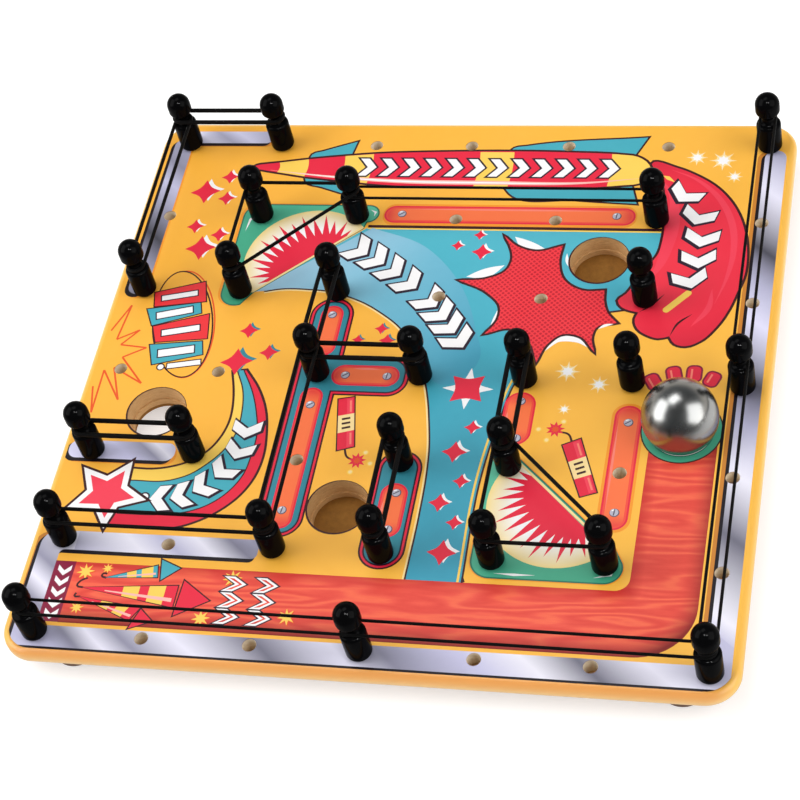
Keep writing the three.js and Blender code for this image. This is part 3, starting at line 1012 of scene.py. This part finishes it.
def draw_left_sign():
    """A tilted oval badge with four plain panels, beside a jagged flash."""
    sheet = "print_sign"
    flash = [
        (-124.9, 18.2), (-119.8, 31), (-121.5, 14), (-113.3, 18.9), (-119.2, 11.5), (-108.5, 10.4),
        (-116.9, 5.5), (-106.2, -6.6), (-118.9, 0.5), (-113.3, -14.7), (-122.5, -0.9), (-122.2, -21),
        (-124.9, -8.7),
    ]
    for corners in zip(flash, flash[1:]):
        paint(sheet, "flare", ribbon(corners, 0.75))
    for ink, shift, turn in (("flare", 0.9, 104), ("line", 0, 106)):
        paint(sheet, ink, ellipse(-97.2 + shift, 22.7, 27, 12, turn))
        paint(sheet, "field", ellipse(-97.2 + shift, 22.7, 26.35, 11.35, turn))
    panels = [
        ("red", [(-112, 37.5), (-93, 43.5), (-90.5, 33.8), (-110.5, 30.7)]),
        ("teal", [(-113, 29.2), (-92.5, 33), (-91, 28), (-109.2, 21.3)]),
        ("red", [(-108.5, 20.7), (-87.7, 27.5), (-85.7, 15.7), (-105.7, 13.3)]),
        ("teal", [(-107.5, 11.8), (-87.3, 14.2), (-85.7, 8), (-104.3, 2.5)]),
    ]
    for ink, panel in panels:
        paint_lined(sheet, ink, panel, 0.5)
        ends = [Vector(p) for p in panel]
        left, right = (ends[0] + ends[3]) / 2, (ends[1] + ends[2]) / 2
        a, b = left.lerp(right, 0.14), left.lerp(right, 0.84)
        thick = (ends[0] - ends[3]).length * 0.34
        paint_lined(sheet, "white", ribbon([tuple(a), tuple(b)], thick), 0.5, "navy")
    paint_lined(sheet, "white", [(-98, 0.8), (-85.3, 3.2), (-85.8, 5.4), (-98.2, 3)], 0.5)
    paint_lined(sheet, "white", circle(-100.6, 1.4, 1.2), 0.5)


def twinkle(sheet, x, y, radius, under, angle):
    """A fat four-pointed sparkle over its pale echo."""
    paint(sheet, under, sparkle(x + 0.28 * radius, y + 0.18 * radius, radius * 1.1, angle, waist=0.5))
    paint(sheet, "crimson", sparkle(x, y, radius * 1.14, angle, waist=0.52))


TWINKLES = [
    ("print_twinkles_left", "white", 96, [
        (-104.4, 90.4, 5.5), (-95.9, 98.5, 3.2), (-94.8, 87, 3.2), (-104.1, 71.9, 3.2), (-93.3, 67.8, 3.2),
        (-99.3, 60.7, 5.5),
    ]),
    ("print_twinkles_left", "teal_dark", 96, [(-70, 20, 3.3), (-60, 9.8, 3.3), (-71.5, 5, 5.6)]),
    ("print_twinkles_middle", "teal_dark", 90, [(-19, 22.5, 2.4), (-27, 17, 2.1), (-16, 17, 2.7)]),
    ("print_twinkles_middle", "white", 90, [
        (10.8, 69.5, 2.2), (3, 64, 2.2), (12.8, 61, 3.5), (22.7, -21.5, 2.7), (18, -32.5, 4.1),
        (22.5, -45, 2.7), (16.3, -54.5, 3.4), (23, -62.5, 2.7), (20.7, -75, 4.6),
    ]),
]


def draw_twinkles():
    for sheet, under, angle, spots in TWINKLES:
        for x, y, radius in spots:
            twinkle(sheet, x, y, radius, under, angle)
    paint("print_twinkles_middle", "white", sparkle(18.2, -4.2, 9.4, 90, 4, 0.42))
    paint("print_twinkles_middle", "crimson", sparkle(18, -4.2, 8.2, 47, 4, 0.54))
    flashes = [
        (89, 110.5, 3.8), (99, 109, 4.8), (104, 100.7, 3),
        (53.3, 5, 4.3), (65.3, -0.5, 3.6), (54.4, -12, 2.3),
    ]
    for x, y, radius in flashes:
        paint("print_flashes", "cream", sparkle(x, y, radius * 1.12, 90, 8, 0.5))
        paint("print_flashes", "white", sparkle(x, y, radius, 90, 8, 0.36))


def draw_sticks():
    """Two striped sticks with a curled fuse and a spark."""
    sticks = [
        (
            [(-28.7, -11), (-23, -9.7), (-18.8, -31.8), (-24.7, -33.8)],
            [(-22, -33), (-20.5, -36.5), (-17.5, -38)],
            (-16.5, -38), [(-14, -34.3), (-18, -43), (-11.5, -39)],
        ),
        (
            [(65, -49.3), (70.5, -47.2), (62, -24.7), (56, -27.8)],
            [(59, -26), (57.5, -23), (53.5, -22)],
            (52.5, -21), [(46.5, -21.2), (50, -25.8), (55, -17.5)],
        ),
    ]
    sheet = "print_sticks"
    for body, fuse, spark, dots in sticks:
        corners = [Vector(p) for p in body]

        def along(t, side):
            """A point at share t of the stick's length and share side of its width."""
            return tuple(corners[0].lerp(corners[3], t).lerp(corners[1].lerp(corners[2], t), side))

        paint(sheet, "line", stroke(fuse, 0.8, 1))
        paint_lined(sheet, "crimson", body, 0.5)
        paint(sheet, "rose", [along(0.02, 0.55), along(0.02, 0.9), along(0.98, 0.9), along(0.98, 0.55)])
        paint(sheet, "cream", [along(0.33, 0), along(0.33, 1), along(0.67, 1), along(0.67, 0)])
        for t in (0.41, 0.50, 0.59):
            paint(sheet, "line", ribbon([along(t, 0.24), along(t, 0.76)], 0.9))
        for start, end in ((0.06, 0.29), (0.71, 0.94)):
            paint(sheet, "salmon", ribbon([along(start, 0.78), along(end, 0.78)], 0.7))
        paint(sheet, "crimson", star(*spark, 9, 3.5, 1.9))
        paint(sheet, "flare", star(*spark, 9, 1.6, 0.9))
        for x, y in dots:
            paint(sheet, "yellow", circle(x, y, 1.1))
            paint(sheet, "cream", circle(x, y, 0.7))


def draw_ball_ring():
    """Plain bars and a ring round the ball's own hole, and a thin rim round the other holes."""
    sheet = "print_ring"
    x, y = hole_centre(3)
    bars = [(84.5, 1.5, 30, 6.5), (91.5, 4.8, 14, 7), (98.5, 5.6, 0, 6.5), (105, 3.4, -22, 6)]
    for cx, cy, angle, height in bars:
        mark = turned(box(cx - 2.3, cy - height / 2, cx + 2.3, cy + height / 2, 1.6), angle, (cx, cy))
        paint_lined(sheet, "crimson", mark, 0.7, "wine")
        shine = turned([(cx - 0.9, cy - height / 3), (cx - 0.9, cy + height / 3)], angle, (cx, cy))
        paint(sheet, "salmon", ribbon(shine, 0.7))
    paint(sheet, "line", circle(x, y, 14.4))
    paint(sheet, "green_front", circle(x, y, 13.9))
    paint(sheet, "green_deep", circle(x, y, 11.5))
    for index in range(3):
        hx, hy = hole_centre(index)
        paint("print_hole_rims", "line", circle(hx - 0.12, hy - 0.22, 11.6))


def draw_artwork():
    draw_field()
    draw_rails()
    draw_lane()
    draw_small_rockets()
    draw_teal_field()
    draw_turn_marks()
    draw_burst()
    draw_swoosh()
    draw_big_rocket()
    draw_bars()
    draw_back_bumper()
    draw_front_bumper()
    draw_crescent()
    draw_left_sign()
    draw_twinkles()
    draw_sticks()
    draw_ball_ring()


# ---------------------------------------------------------------- sheets of print


def hole_outlines():
    """The 49 sockets and the four ball holes, as outlines of the artwork."""
    outlines = []
    for row in range(7):
        for column in range(7):
            x, y = socket_centre(column, row)
            outlines.append(circle(x, y, SOCKET_RADIUS, chord=0.02))
    for index in range(4):
        x, y = hole_centre(index)
        outlines.append(circle(x, y, BALL_HOLE_RADIUS, chord=0.02))
    return outlines


def partition(outlines):
    """Cuts the plane along every outline: points, triangles, and each triangle's outlines."""
    points, faces = [], []
    for outline in outlines:
        start = len(points)
        points.extend(Vector(p) for p in outline)
        faces.append(list(range(start, len(points))))
    cut = delaunay_2d_cdt(points, [], faces, 1, 1e-4, True)
    return cut[0], cut[2], cut[5]


def build_sheets():
    """Every triangle of the cut plane goes to the topmost outline over it, and so to that sheet."""
    holes = hole_outlines()
    outlines = [layer[0] for layer in LAYERS] + holes
    points, triangles, owners = partition(outlines)
    by_sheet = {}
    for triangle, owner in zip(triangles, owners):
        top = max(owner, default=-1)
        if top < 0 or top >= len(LAYERS) or 0 not in owner:
            continue
        _, ink, sheet = LAYERS[top]
        by_sheet.setdefault(sheet, []).append((triangle, ink))
    sheets = []
    for sheet, faces in by_sheet.items():
        used, index = {}, []
        inks = sorted({ink for _, ink in faces})
        for triangle, _ in faces:
            index.append([used.setdefault(i, len(used)) for i in triangle])
        mesh = bpy.data.meshes.new(sheet)
        mesh.from_pydata([place(*points[i]) for i in used], [], index)
        for ink in inks:
            mesh.materials.append(INKS[ink])
        for polygon, (_, ink) in zip(mesh.polygons, faces):
            polygon.material_index = inks.index(ink)
        sheets.append(add_piece(sheet, mesh, "board"))
    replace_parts(sheets[0], "printed_overlay")


def add_piece(name, mesh, body, at=(0, 0, 0)):
    """A mesh as a piece on a body, its origin at a place in the frame."""
    mesh.update()
    made = bpy.data.objects.new(name, mesh)
    made.location = at
    bpy.context.scene.collection.objects.link(made)
    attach(made, body)
    return made


# ---------------------------------------------------------------- plastics, wood, rubber and steel


def fibreboard_material(name, tones):
    """Sawn fibreboard: pressed fibres in layers, dusty and dull."""
    material, tree = new_tree(name)
    where = object_metres(tree)
    layered = node(tree, "ShaderNodeMapping", {"Vector": where, "Scale": (1, 1, 9)}).outputs[0]
    fibres = noise(tree, layered, 420, 5, 0.7)
    patches = noise(tree, where, 60, 3)
    tone = weighted(tree, fibres, 0.7, patches, 0.3)
    colour = ramp(tree, tone, [(stop, linear(c)) for stop, c in zip((0.25, 0.5, 0.8), tones)])
    finish(tree, colour, 0.88, fibres, 0.0002)
    return material


def edge_material():
    """The lacquered edge: yellow, with painted light and shade by height: paler along its lower lip, and
    deeper orange towards its top round the front.
    """
    material, tree = new_tree("lacquered_edge_painted_light")
    where = object_metres(tree)
    split = node(tree, "ShaderNodeSeparateXYZ", {0: where})
    height = between(tree, split.outputs[2], PLATE_LOW.z, SURFACE)
    cloud = noise(tree, where, 70, 4, 0.6)
    # Painted light and shade: each ramp runs from a pale lower lip to a deeper top; the front one is paler
    # below and deeper orange above.
    plain = [(0.0, (248, 224, 180)), (0.12, (255, 214, 140)), (0.5, (255, 204, 104)), (1.0, (255, 194, 80))]
    front = [(0.0, (255, 238, 210)), (0.2, (255, 218, 160)), (0.6, (255, 194, 112)), (1.0, (240, 160, 84))]
    tones = [ramp(tree, height, printed(stops)) for stops in (plain, front)]
    nearness = between(tree, split.outputs[1], PLATE_LOW.y + 0.006, PLATE_LOW.y + 0.001)
    base = mixed(tree, nearness, *tones)
    colour = mixed(tree, calc(tree, "MULTIPLY", cloud, 0.12), base, linear((214, 140, 62), PAPER))
    finish(tree, colour, 0.32, noise(tree, where, 500, 3), 0.00003, coat=0.15)
    return material


def peg_material():
    """Glossy moulded black plastic with hair scratches and handling marks."""
    material, tree = new_tree("black_plastic")
    where = object_metres(tree)
    smear = noise(tree, where, 160, 4, 0.6)
    scratch = node(tree, "ShaderNodeMapping", {"Vector": where, "Scale": (1, 1, 14)}).outputs[0]
    hair = noise(tree, scratch, 700, 4, 0.7)
    gloss = between(tree, smear, 0.35, 0.7, 0.14, 0.24)
    colour = mixed(tree, smear, linear((2, 2, 2)), linear((5, 5, 6)))
    finish(tree, colour, gloss, hair, 0.000004, coat=0.04, specular=0.01, coat_roughness=0.04)
    return material


def band_material():
    """Woven elastic: a fine rib across a matt black cord."""
    material, tree = new_tree("black_elastic")
    where = object_metres(tree)
    rib = node(
        tree, "ShaderNodeTexWave", {"Vector": where, "Scale": 900.0, "Distortion": 2.0, "Detail": 1.0},
        bands_direction="DIAGONAL",
    ).outputs["Fac"]
    dust = noise(tree, where, 900, 3)
    colour = mixed(tree, calc(tree, "MULTIPLY", dust, rib), linear((3, 3, 3)), linear((16, 14, 14)))
    finish(tree, colour, 0.62, rib, 0.00008, specular=0.1)
    return material


def rubber_material():
    """Gritty brown rubber."""
    material, tree = new_tree("brown_rubber")
    where = object_metres(tree)
    grit = noise(tree, where, 800, 4, 0.7)
    colour = mixed(tree, grit, linear((84, 62, 52)), linear((128, 100, 84)))
    finish(tree, colour, 0.78, grit, 0.0001)
    return material


def steel_material():
    """Bearing steel with a fine satin that softens its reflections, and faint wipe marks."""
    material, tree = new_tree("polished_steel")
    where = object_metres(tree)
    wipe = noise(tree, where, 90, 5, 0.6, 0.6)
    gloss = between(tree, wipe, 0.3, 0.7, 0.24, 0.28)
    colour = mixed(tree, wipe, linear((150, 151, 150)), linear((166, 166, 164)))
    finish(tree, colour, gloss, noise(tree, where, 1200, 2), 0.000002, metallic=1.0)
    return material


MDF = fibreboard_material("fibreboard", [(166, 124, 76), (208, 164, 108), (232, 198, 150)])
# Painted light: a much paler copy of the fibreboard, which lifts the shaded walls of the deep peg sockets.
SOCKET = fibreboard_material("socket_wall_painted_light", [(206, 186, 158), (232, 216, 190), (248, 238, 220)])
HARDBOARD = fibreboard_material("hardboard", [(116, 74, 18), (138, 92, 26), (156, 108, 40)])
LACQUER = edge_material()
PLASTIC = peg_material()
ELASTIC = band_material()
RUBBER = rubber_material()
STEEL = steel_material()

# ---------------------------------------------------------------- boards


CORNER_STEPS = 14


def rounded_rectangle(inset):
    """The board's outline moved inwards, always with the same number of points."""
    x0, x1 = BOARD_X[0] + inset, BOARD_X[1] - inset
    y0, y1 = BOARD_Y[0] + inset, BOARD_Y[1] - inset
    radius = CORNER - inset
    points = []
    corners = [
        (x1 - radius, y0 + radius, -90), (x1 - radius, y1 - radius, 0),
        (x0 + radius, y1 - radius, 90), (x0 + radius, y0 + radius, 180),
    ]
    for cx, cy, start in corners:
        for i in range(CORNER_STEPS + 1):
            angle = math.radians(start + 90 * i / CORNER_STEPS)
            points.append((cx + radius * math.cos(angle), cy + radius * math.sin(angle)))
    return points


def bridge(faces, lower, upper, flip=False):
    """Quads between two loops of as many points."""
    count = len(lower)
    for i in range(count):
        quad = [lower[i], lower[(i + 1) % count], upper[(i + 1) % count], upper[i]]
        faces.append(quad[::-1] if flip else quad)


def wall_kind(hole):
    """Small holes get the paler copy of the fibreboard, with light painted into their deep walls."""
    across = max(x for x, _ in hole) - min(x for x, _ in hole)
    return 2 if across < 2.2 * SOCKET_RADIUS else 0


def slab(name, rings, holes, materials):
    """A closed board: rings of (inset, height) from below to above, and round holes right through."""
    points, faces, kinds, soft = [], [], [], []
    loops = []
    for inset, z in rings:
        loops.append(list(range(len(points), len(points) + 4 * (CORNER_STEPS + 1))))
        points.extend(place(x, y, z) for x, y in rounded_rectangle(inset))
    for lower, upper in zip(loops, loops[1:]):
        bridge(faces, lower, upper)
    kinds += [1] * len(faces)
    soft += [True] * len(faces)
    for z, inset, up in ((rings[0][1], rings[0][0], False), (rings[-1][1], rings[-1][0], True)):
        flat, triangles, owners = partition([rounded_rectangle(inset)] + holes)
        start = len(points)
        points.extend(place(x, y, z) for x, y in flat)
        for triangle, owner in zip(triangles, owners):
            if max(owner, default=-1) == 0:
                corners = [start + i for i in triangle]
                faces.append(corners if up else corners[::-1])
                kinds.append(0)
                soft.append(False)
    for hole in holes:
        low = list(range(len(points), len(points) + len(hole)))
        points.extend(place(x, y, rings[0][1]) for x, y in hole)
        high = list(range(len(points), len(points) + len(hole)))
        points.extend(place(x, y, rings[-1][1]) for x, y in hole)
        bridge(faces, low, high, flip=True)
        kinds += [wall_kind(hole)] * len(hole)
        soft += [True] * len(hole)
    mesh = bpy.data.meshes.new(name)
    mesh.from_pydata(points, [], faces)
    for material in materials:
        mesh.materials.append(material)
    for polygon, kind, is_soft in zip(mesh.polygons, kinds, soft):
        polygon.material_index = kind
        polygon.use_smooth = is_soft
    return mesh


def build_boards():
    """The thick upper board has rolled edges that carry the ground colour; the thin one is plain."""
    rings = []
    low, high = PLATE_LOW.z, SURFACE
    for i in range(7):
        angle = math.radians(90 * i / 6)
        rings.append((EDGE * (1 - math.sin(angle)), low + EDGE * MM * (1 - math.cos(angle))))
    for i in range(7):
        angle = math.radians(90 * i / 6)
        rings.append((EDGE * (1 - math.cos(angle)), high - EDGE * MM * (1 - math.sin(angle))))
    holes = hole_outlines()
    mesh = slab("board_body", rings, holes, [MDF, LACQUER, SOCKET])
    lap = 0.0027
    sink = 0.00025  # the flat face lies just under the film
    for vertex in mesh.vertices:
        flat = vertex.co.z > high - 1e-6
        inside = (
            PLATE_LOW.x + lap < vertex.co.x < PLATE_HIGH.x - lap
            and PLATE_LOW.y + lap < vertex.co.y < PLATE_HIGH.y - lap
        )
        if flat and inside:
            vertex.co.z -= sink
    body = add_piece("board_body", mesh, "board")
    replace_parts(body, "top_board")
    gap = 0.00002
    floor = BASE_LOW.z + HOLE_FLOOR * MM
    ledges = [circle(*hole_centre(index), BALL_HOLE_RADIUS - 0.5, chord=0.02) for index in range(4)]
    through = [hole for index, hole in enumerate(ledges) if index not in BLIND_HOLES]
    base_layer("board_base", floor, BASE_HIGH.z - gap, ledges, MDF)
    base_layer("board_backing", BASE_LOW.z, floor - gap, through, HARDBOARD)


def base_layer(name, low, high, holes, material):
    """One layer of the bottom board, its edges just broken."""
    lip = 0.3
    rings = [
        (BASE_INSET + lip, low), (BASE_INSET, low + lip * MM),
        (BASE_INSET, high - lip * MM), (BASE_INSET + lip, high),
    ]
    made = add_piece(name, slab(name, rings, holes, [material, material]), "board")
    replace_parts(made, "bottom_board")


# ---------------------------------------------------------------- turned pieces


def smooth_mesh(name, points, faces, material):
    mesh = bpy.data.meshes.new(name)
    mesh.from_pydata(points, [], faces)
    mesh.materials.append(material)
    for polygon in mesh.polygons:
        polygon.use_smooth = True
    return mesh


def lathe(name, profile, segments, material):
    """A smooth solid of revolution about Z from (radius, height) in millimetres, from below to above."""
    points, faces = [], []
    loops = []
    for radius, z in profile:
        if radius < 1e-6:
            loops.append([len(points)])
            points.append((0, 0, z * MM))
            continue
        loops.append(list(range(len(points), len(points) + segments)))
        for i in range(segments):
            angle = 2 * math.pi * i / segments
            points.append((radius * MM * math.cos(angle), radius * MM * math.sin(angle), z * MM))
    for lower, upper in zip(loops, loops[1:]):
        if len(lower) == 1:
            faces += [[lower[0], upper[(i + 1) % segments], upper[i]] for i in range(segments)]
        elif len(upper) == 1:
            faces += [[lower[i], lower[(i + 1) % segments], upper[0]] for i in range(segments)]
        else:
            bridge(faces, lower, upper)
    return smooth_mesh(name, points, faces, material)


def sweep(cx, cz, radius, start, end, steps, rise=None):
    """Points of a profile along an arc, as (radius, height); rise makes it an ellipse."""
    points = []
    for i in range(steps + 1):
        angle = math.radians(start + (end - start) * i / steps)
        height = cz + (rise or radius) * math.sin(angle)
        points.append((max(0.0, cx + radius * math.cos(angle)), height))
    return points


PEG_RADIUS = 4.6
NECK_RADIUS = 2.35


def peg_profile():
    """Stem, barrel-shaped lobe, slim neck for the bands, and a ball-shaped head."""
    shoulder = PEG_RADIUS - 1.3
    return (
        [(0, -6), (1.9, -6), (2.2, -5.6), (2.2, 0.1)]
        + sweep(PEG_RADIUS - 1.8, 1.9, 1.8, -90, 0, 8)
        + sweep(shoulder, 12.3, 1.3, 0, 80, 9, rise=1.4)
        + [(NECK_RADIUS, 13.8), (NECK_RADIUS, 18.8)]
        + sweep(shoulder, 20.2, 1.3, -80, 0, 9, rise=1.4)
        + sweep(0, 22.9, PEG_RADIUS, 0, 90, 12, rise=4.5)
    )


def bodies_of_nodes():
    """The name of each node's body."""
    found = {}
    for body, nodes in frame["record"]["behaviour"]["bodies"].items():
        for name in nodes:
            found[name] = body
    return found


def build_pegs(bodies):
    mesh = lathe("peg", peg_profile(), 40, PLASTIC)
    for name in sorted(frame["nodes"]):
        if not name.startswith("peg_"):
            continue
        low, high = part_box(name)
        at = ((low.x + high.x) / 2, (low.y + high.y) / 2, SURFACE)
        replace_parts(add_piece("turned_" + name, mesh.copy(), bodies[name], at), name)


def build_ball():
    low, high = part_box("steel_ball")
    radius = (high.z - low.z) / 2 / MM
    profile = sweep(0, 0, radius, -90, 90, 48)
    profile[0] = (0, -radius)
    profile[-1] = (0, radius)
    mesh = lathe("polished_ball", profile, 96, STEEL)
    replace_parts(add_piece("polished_ball", mesh, "ball", (low + high) / 2), "steel_ball")


def build_feet():
    """Round feet with a hollow underside and a rolled lower rim."""
    profile = (
        [(0, 0.9), (4.9, 0.9), (5.5, 0.5), (6.0, 0)]
        + sweep(7.5, 0.7, 0.7, -80, 0, 5)
        + [(8.2, 1.1), (8.2, 3.6), (8.0, 4.0), (0, 4.0)]
    )
    for side in ("left", "right"):
        for end in ("front", "back"):
            name = f"foot_{end}_{side}"
            low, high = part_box(name)
            mesh = lathe("rubber_" + name, profile, 48, RUBBER)
            at = ((low.x + high.x) / 2, (low.y + high.y) / 2, low.z)
            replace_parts(add_piece("rubber_" + name, mesh, "board", at), name)


# ---------------------------------------------------------------- elastic bands

BAND_HEIGHTS = [14.65, 16.3, 17.95]  # three levels on a neck, above the printed surface
BAND_SLACK = 0.01
THIN, MEDIUM, FIRM, THICK = 0.55, 0.7, 0.8, 0.9
BANDS = {  # cord radius, and each peg's column, row and level
    "band_back_left": (THICK, [(0, 0, 1), (1, 0, 1)]),
    "band_left_back": (MEDIUM, [(0, 0, 0), (0, 2, 0)]),
    "band_bumper_back": (MEDIUM, [(1, 1, 1), (1, 2, 1), (2, 1, 1)]),
    "band_cross_back": (THIN, [(2, 1, 0), (5, 1, 0)]),
    "band_centre_back": (FIRM, [(2, 2, 1), (2, 3, 2)]),
    "band_centre_cross": (THICK, [(2, 3, 0), (3, 3, 0)]),
    "band_centre_front": (MEDIUM, [(2, 3, 1), (2, 5, 1)]),
    "band_left_short": (THICK, [(0, 4, 0), (1, 4, 0)]),
    "band_left_front": (MEDIUM, [(0, 5, 0), (2, 5, 0)]),
    "band_middle_short": (THICK, [(3, 4, 1), (3, 5, 1)]),
    "band_lane_side": (THICK, [(4, 3, 1), (4, 4, 1)]),
    "band_bumper_front": (MEDIUM, [(4, 4, 0), (4, 5, 1), (5, 5, 1)]),
    "band_front_long": (THIN, [(0, 6, 1), (6, 6, 0)]),
    "band_right_long": (THIN, [(6, 0, 1), (6, 6, 1)]),
}


def band_path(radius, pegs):
    """Arcs round the pegs joined by taut strands, counter-clockwise seen from above."""
    reach = NECK_RADIUS + BAND_SLACK + radius
    centres = [Vector((*socket_centre(c, r), BAND_HEIGHTS[level])) for c, r, level in pegs]
    count = len(centres)
    path = []
    for i, centre in enumerate(centres):
        before, after = centres[i - 1], centres[(i + 1) % count]
        arrive = math.atan2(centre.y - before.y, centre.x - before.x) - math.pi / 2
        leave = math.atan2(after.y - centre.y, after.x - centre.x) - math.pi / 2
        turn = (leave - arrive) % (2 * math.pi)
        steps = max(4, round(turn / math.pi * 16))
        for k in range(steps + 1):
            angle = arrive + turn * k / steps
            path.append(Vector((
                centre.x + reach * math.cos(angle), centre.y + reach * math.sin(angle), centre.z,
            )))
    return path


def tube(name, path, radius, sides, material):
    """A closed round tube whose rings mitre each bend."""
    points, faces, loops = [], [], []
    count = len(path)
    for i, here in enumerate(path):
        arrive = (here - path[i - 1]).normalized()
        leave = (path[(i + 1) % count] - here).normalized()
        tangent = (arrive + leave).normalized()
        side = tangent.cross(Vector((0, 0, 1))).normalized()
        rise = side.cross(tangent).normalized()
        loops.append(list(range(len(points), len(points) + sides)))
        for k in range(sides):
            angle = 2 * math.pi * k / sides
            offset = side * (radius * math.cos(angle)) + rise * (radius * math.sin(angle))
            p = here + offset
            points.append(place(p.x, p.y, SURFACE + p.z * MM))
    for i in range(count):
        bridge(faces, loops[i], loops[(i + 1) % count])
    return smooth_mesh(name, points, faces, material)


def build_bands(bodies):
    for name, (radius, pegs) in BANDS.items():
        mesh = tube("cord_" + name, band_path(radius, pegs), radius, 12, ELASTIC)
        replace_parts(add_piece("cord_" + name, mesh, bodies[name]), name)


# ---------------------------------------------------------------- studio


def build_floor():
    """A pale floor that glows a little, which lightens the board's shadow on it and lights the board from
    below; white to the camera far off, and dim to shiny things where it lies ahead of the board.
    """
    mesh = bpy.data.meshes.new("floor")
    reach = 6
    corners = [(x * reach, y * reach, 0) for x, y in ((-1, -1), (1, -1), (1, 1), (-1, 1))]
    mesh.from_pydata(corners, [], [[0, 1, 2, 3]])
    material, tree = new_tree("pale_floor")
    where = object_metres(tree)
    rays = node(tree, "ShaderNodeLightPath").outputs
    distance = node(tree, "ShaderNodeVectorMath", {0: where}, operation="LENGTH").outputs["Value"]
    far = calc(tree, "MULTIPLY", between(tree, distance, 0.5, 1.6), rays["Is Camera Ray"])
    ahead = node(tree, "ShaderNodeSeparateXYZ", {0: where}).outputs[1]
    dim = calc(tree, "MULTIPLY", between(tree, ahead, 0.0, -0.2), rays["Is Glossy Ray"])
    lift = calc(tree, "MULTIPLY", calc(tree, "SUBTRACT", far, dim), 0.46)
    # The floor's own glow: it lightens the board's shadow on the floor and lights the board from below.
    glow = calc(tree, "ADD", lift, 0.5)
    finish(tree, mixed(tree, dim, linear((205, 205, 205)), linear((70, 72, 74))), 0.8)
    shader = tree.nodes["Principled BSDF"]
    shader.inputs["Emission Color"].default_value = (1, 1, 1, 1)
    tree.links.new(glow, shader.inputs["Emission Strength"])
    mesh.materials.append(material)
    floor = bpy.data.objects.new("floor", mesh)
    bpy.context.scene.collection.objects.link(floor)


LIGHT_DISTANCE = 1.5


def softbox(name, direction, width, height, power, target, roll=0):
    """A square light that faces a target, turned by roll degrees about its own axis."""
    light = bpy.data.lights.new(name, "AREA")
    light.shape = "RECTANGLE"
    light.size = width
    light.size_y = height
    light.energy = power
    made = bpy.data.objects.new(name, light)
    made.location = target + Vector(direction).normalized() * LIGHT_DISTANCE
    aim = (target - made.location).to_track_quat("-Z", "Y")
    aim.rotate(Quaternion(target - made.location, math.radians(roll)))
    made.rotation_euler = aim.to_euler()
    bpy.context.scene.collection.objects.link(made)
    return made


def build_world():
    """A bright room for diffuse light; to shiny things its ceiling and its front are dark."""
    world = bpy.data.worlds.new("studio")
    bpy.context.scene.world = world
    world.use_nodes = True
    tree = world.node_tree
    background = tree.nodes["Background"]
    where = node(tree, "ShaderNodeTexCoord").outputs["Generated"]
    height = node(tree, "ShaderNodeSeparateXYZ", {0: where}).outputs[2]
    room = ramp(tree, height, [
        (0.0, linear((235, 230, 222))), (0.25, linear((222, 216, 208))), (0.5, linear((100, 104, 106))),
        (0.85, linear((40, 44, 46))),
    ])
    behind = between(tree, node(tree, "ShaderNodeSeparateXYZ", {0: where}).outputs[1], -0.75, -0.25)
    room = mixed(tree, behind, linear((62, 66, 68)), room)
    rays = node(tree, "ShaderNodeLightPath")
    colour = mixed(tree, rays.outputs["Is Glossy Ray"], (1, 1, 1, 1), room)
    strength = calc(tree, "SUBTRACT", 1.0, calc(tree, "MULTIPLY", rays.outputs["Is Diffuse Ray"], 0.6))
    tree.links.new(colour, background.inputs["Color"])
    tree.links.new(strength, background.inputs["Strength"])


def build_camera():
    """The photo's viewing angle: a long lens above the front right corner."""
    camera = bpy.data.cameras.new("camera")
    camera.lens = 100.75
    camera.sensor_width = 36
    camera.clip_start = 0.05
    camera.clip_end = 50
    made = bpy.data.objects.new("camera", camera)
    right = Vector((0.96724, 0.17914, -0.17986))
    up = Vector((-0.03247, 0.79001, 0.61223))
    back = Vector((0.25176, -0.58634, 0.76995))
    turn = Matrix((right, up, back)).transposed().to_4x4()
    made.matrix_world = Matrix.Translation((0.1988, -0.4851, 0.6354)) @ turn
    bpy.context.scene.collection.objects.link(made)
    bpy.context.scene.camera = made


def build_studio():
    """Two large soft lights, a smaller one behind, and two small ones that only the pegs catch."""
    ball = middle("steel_ball")
    softbox("softbox_left", (-0.80, -0.14, 0.58), 1.45, 0.95, 15.5, ball, roll=45)
    softbox("softbox_right", (0.80, -0.22, 0.56), 1.5, 1.3, 17, ball, roll=-40)
    softbox("softbox_top", (-0.21, 0.24, 0.94), 0.75, 0.6, 5.5, ball)
    pegs = bpy.data.collections.new("peg_glints")
    for piece in bpy.data.objects:
        if piece.name.startswith("turned_peg_"):
            pegs.objects.link(piece)
    for side in (-1, 1):
        glint = softbox(f"glint_{side + 1}", (0.17 + 0.15 * side, -0.40, 0.90), 0.11, 0.11, 15, ball)
        glint.light_linking.receiver_collection = pegs
    bpy.context.scene.view_settings.view_transform = "Standard"


draw_artwork()
build_sheets()
build_boards()
node_bodies = bodies_of_nodes()
build_pegs(node_bodies)
build_bands(node_bodies)
build_ball()
build_feet()
build_floor()
build_world()
build_studio()
build_camera()
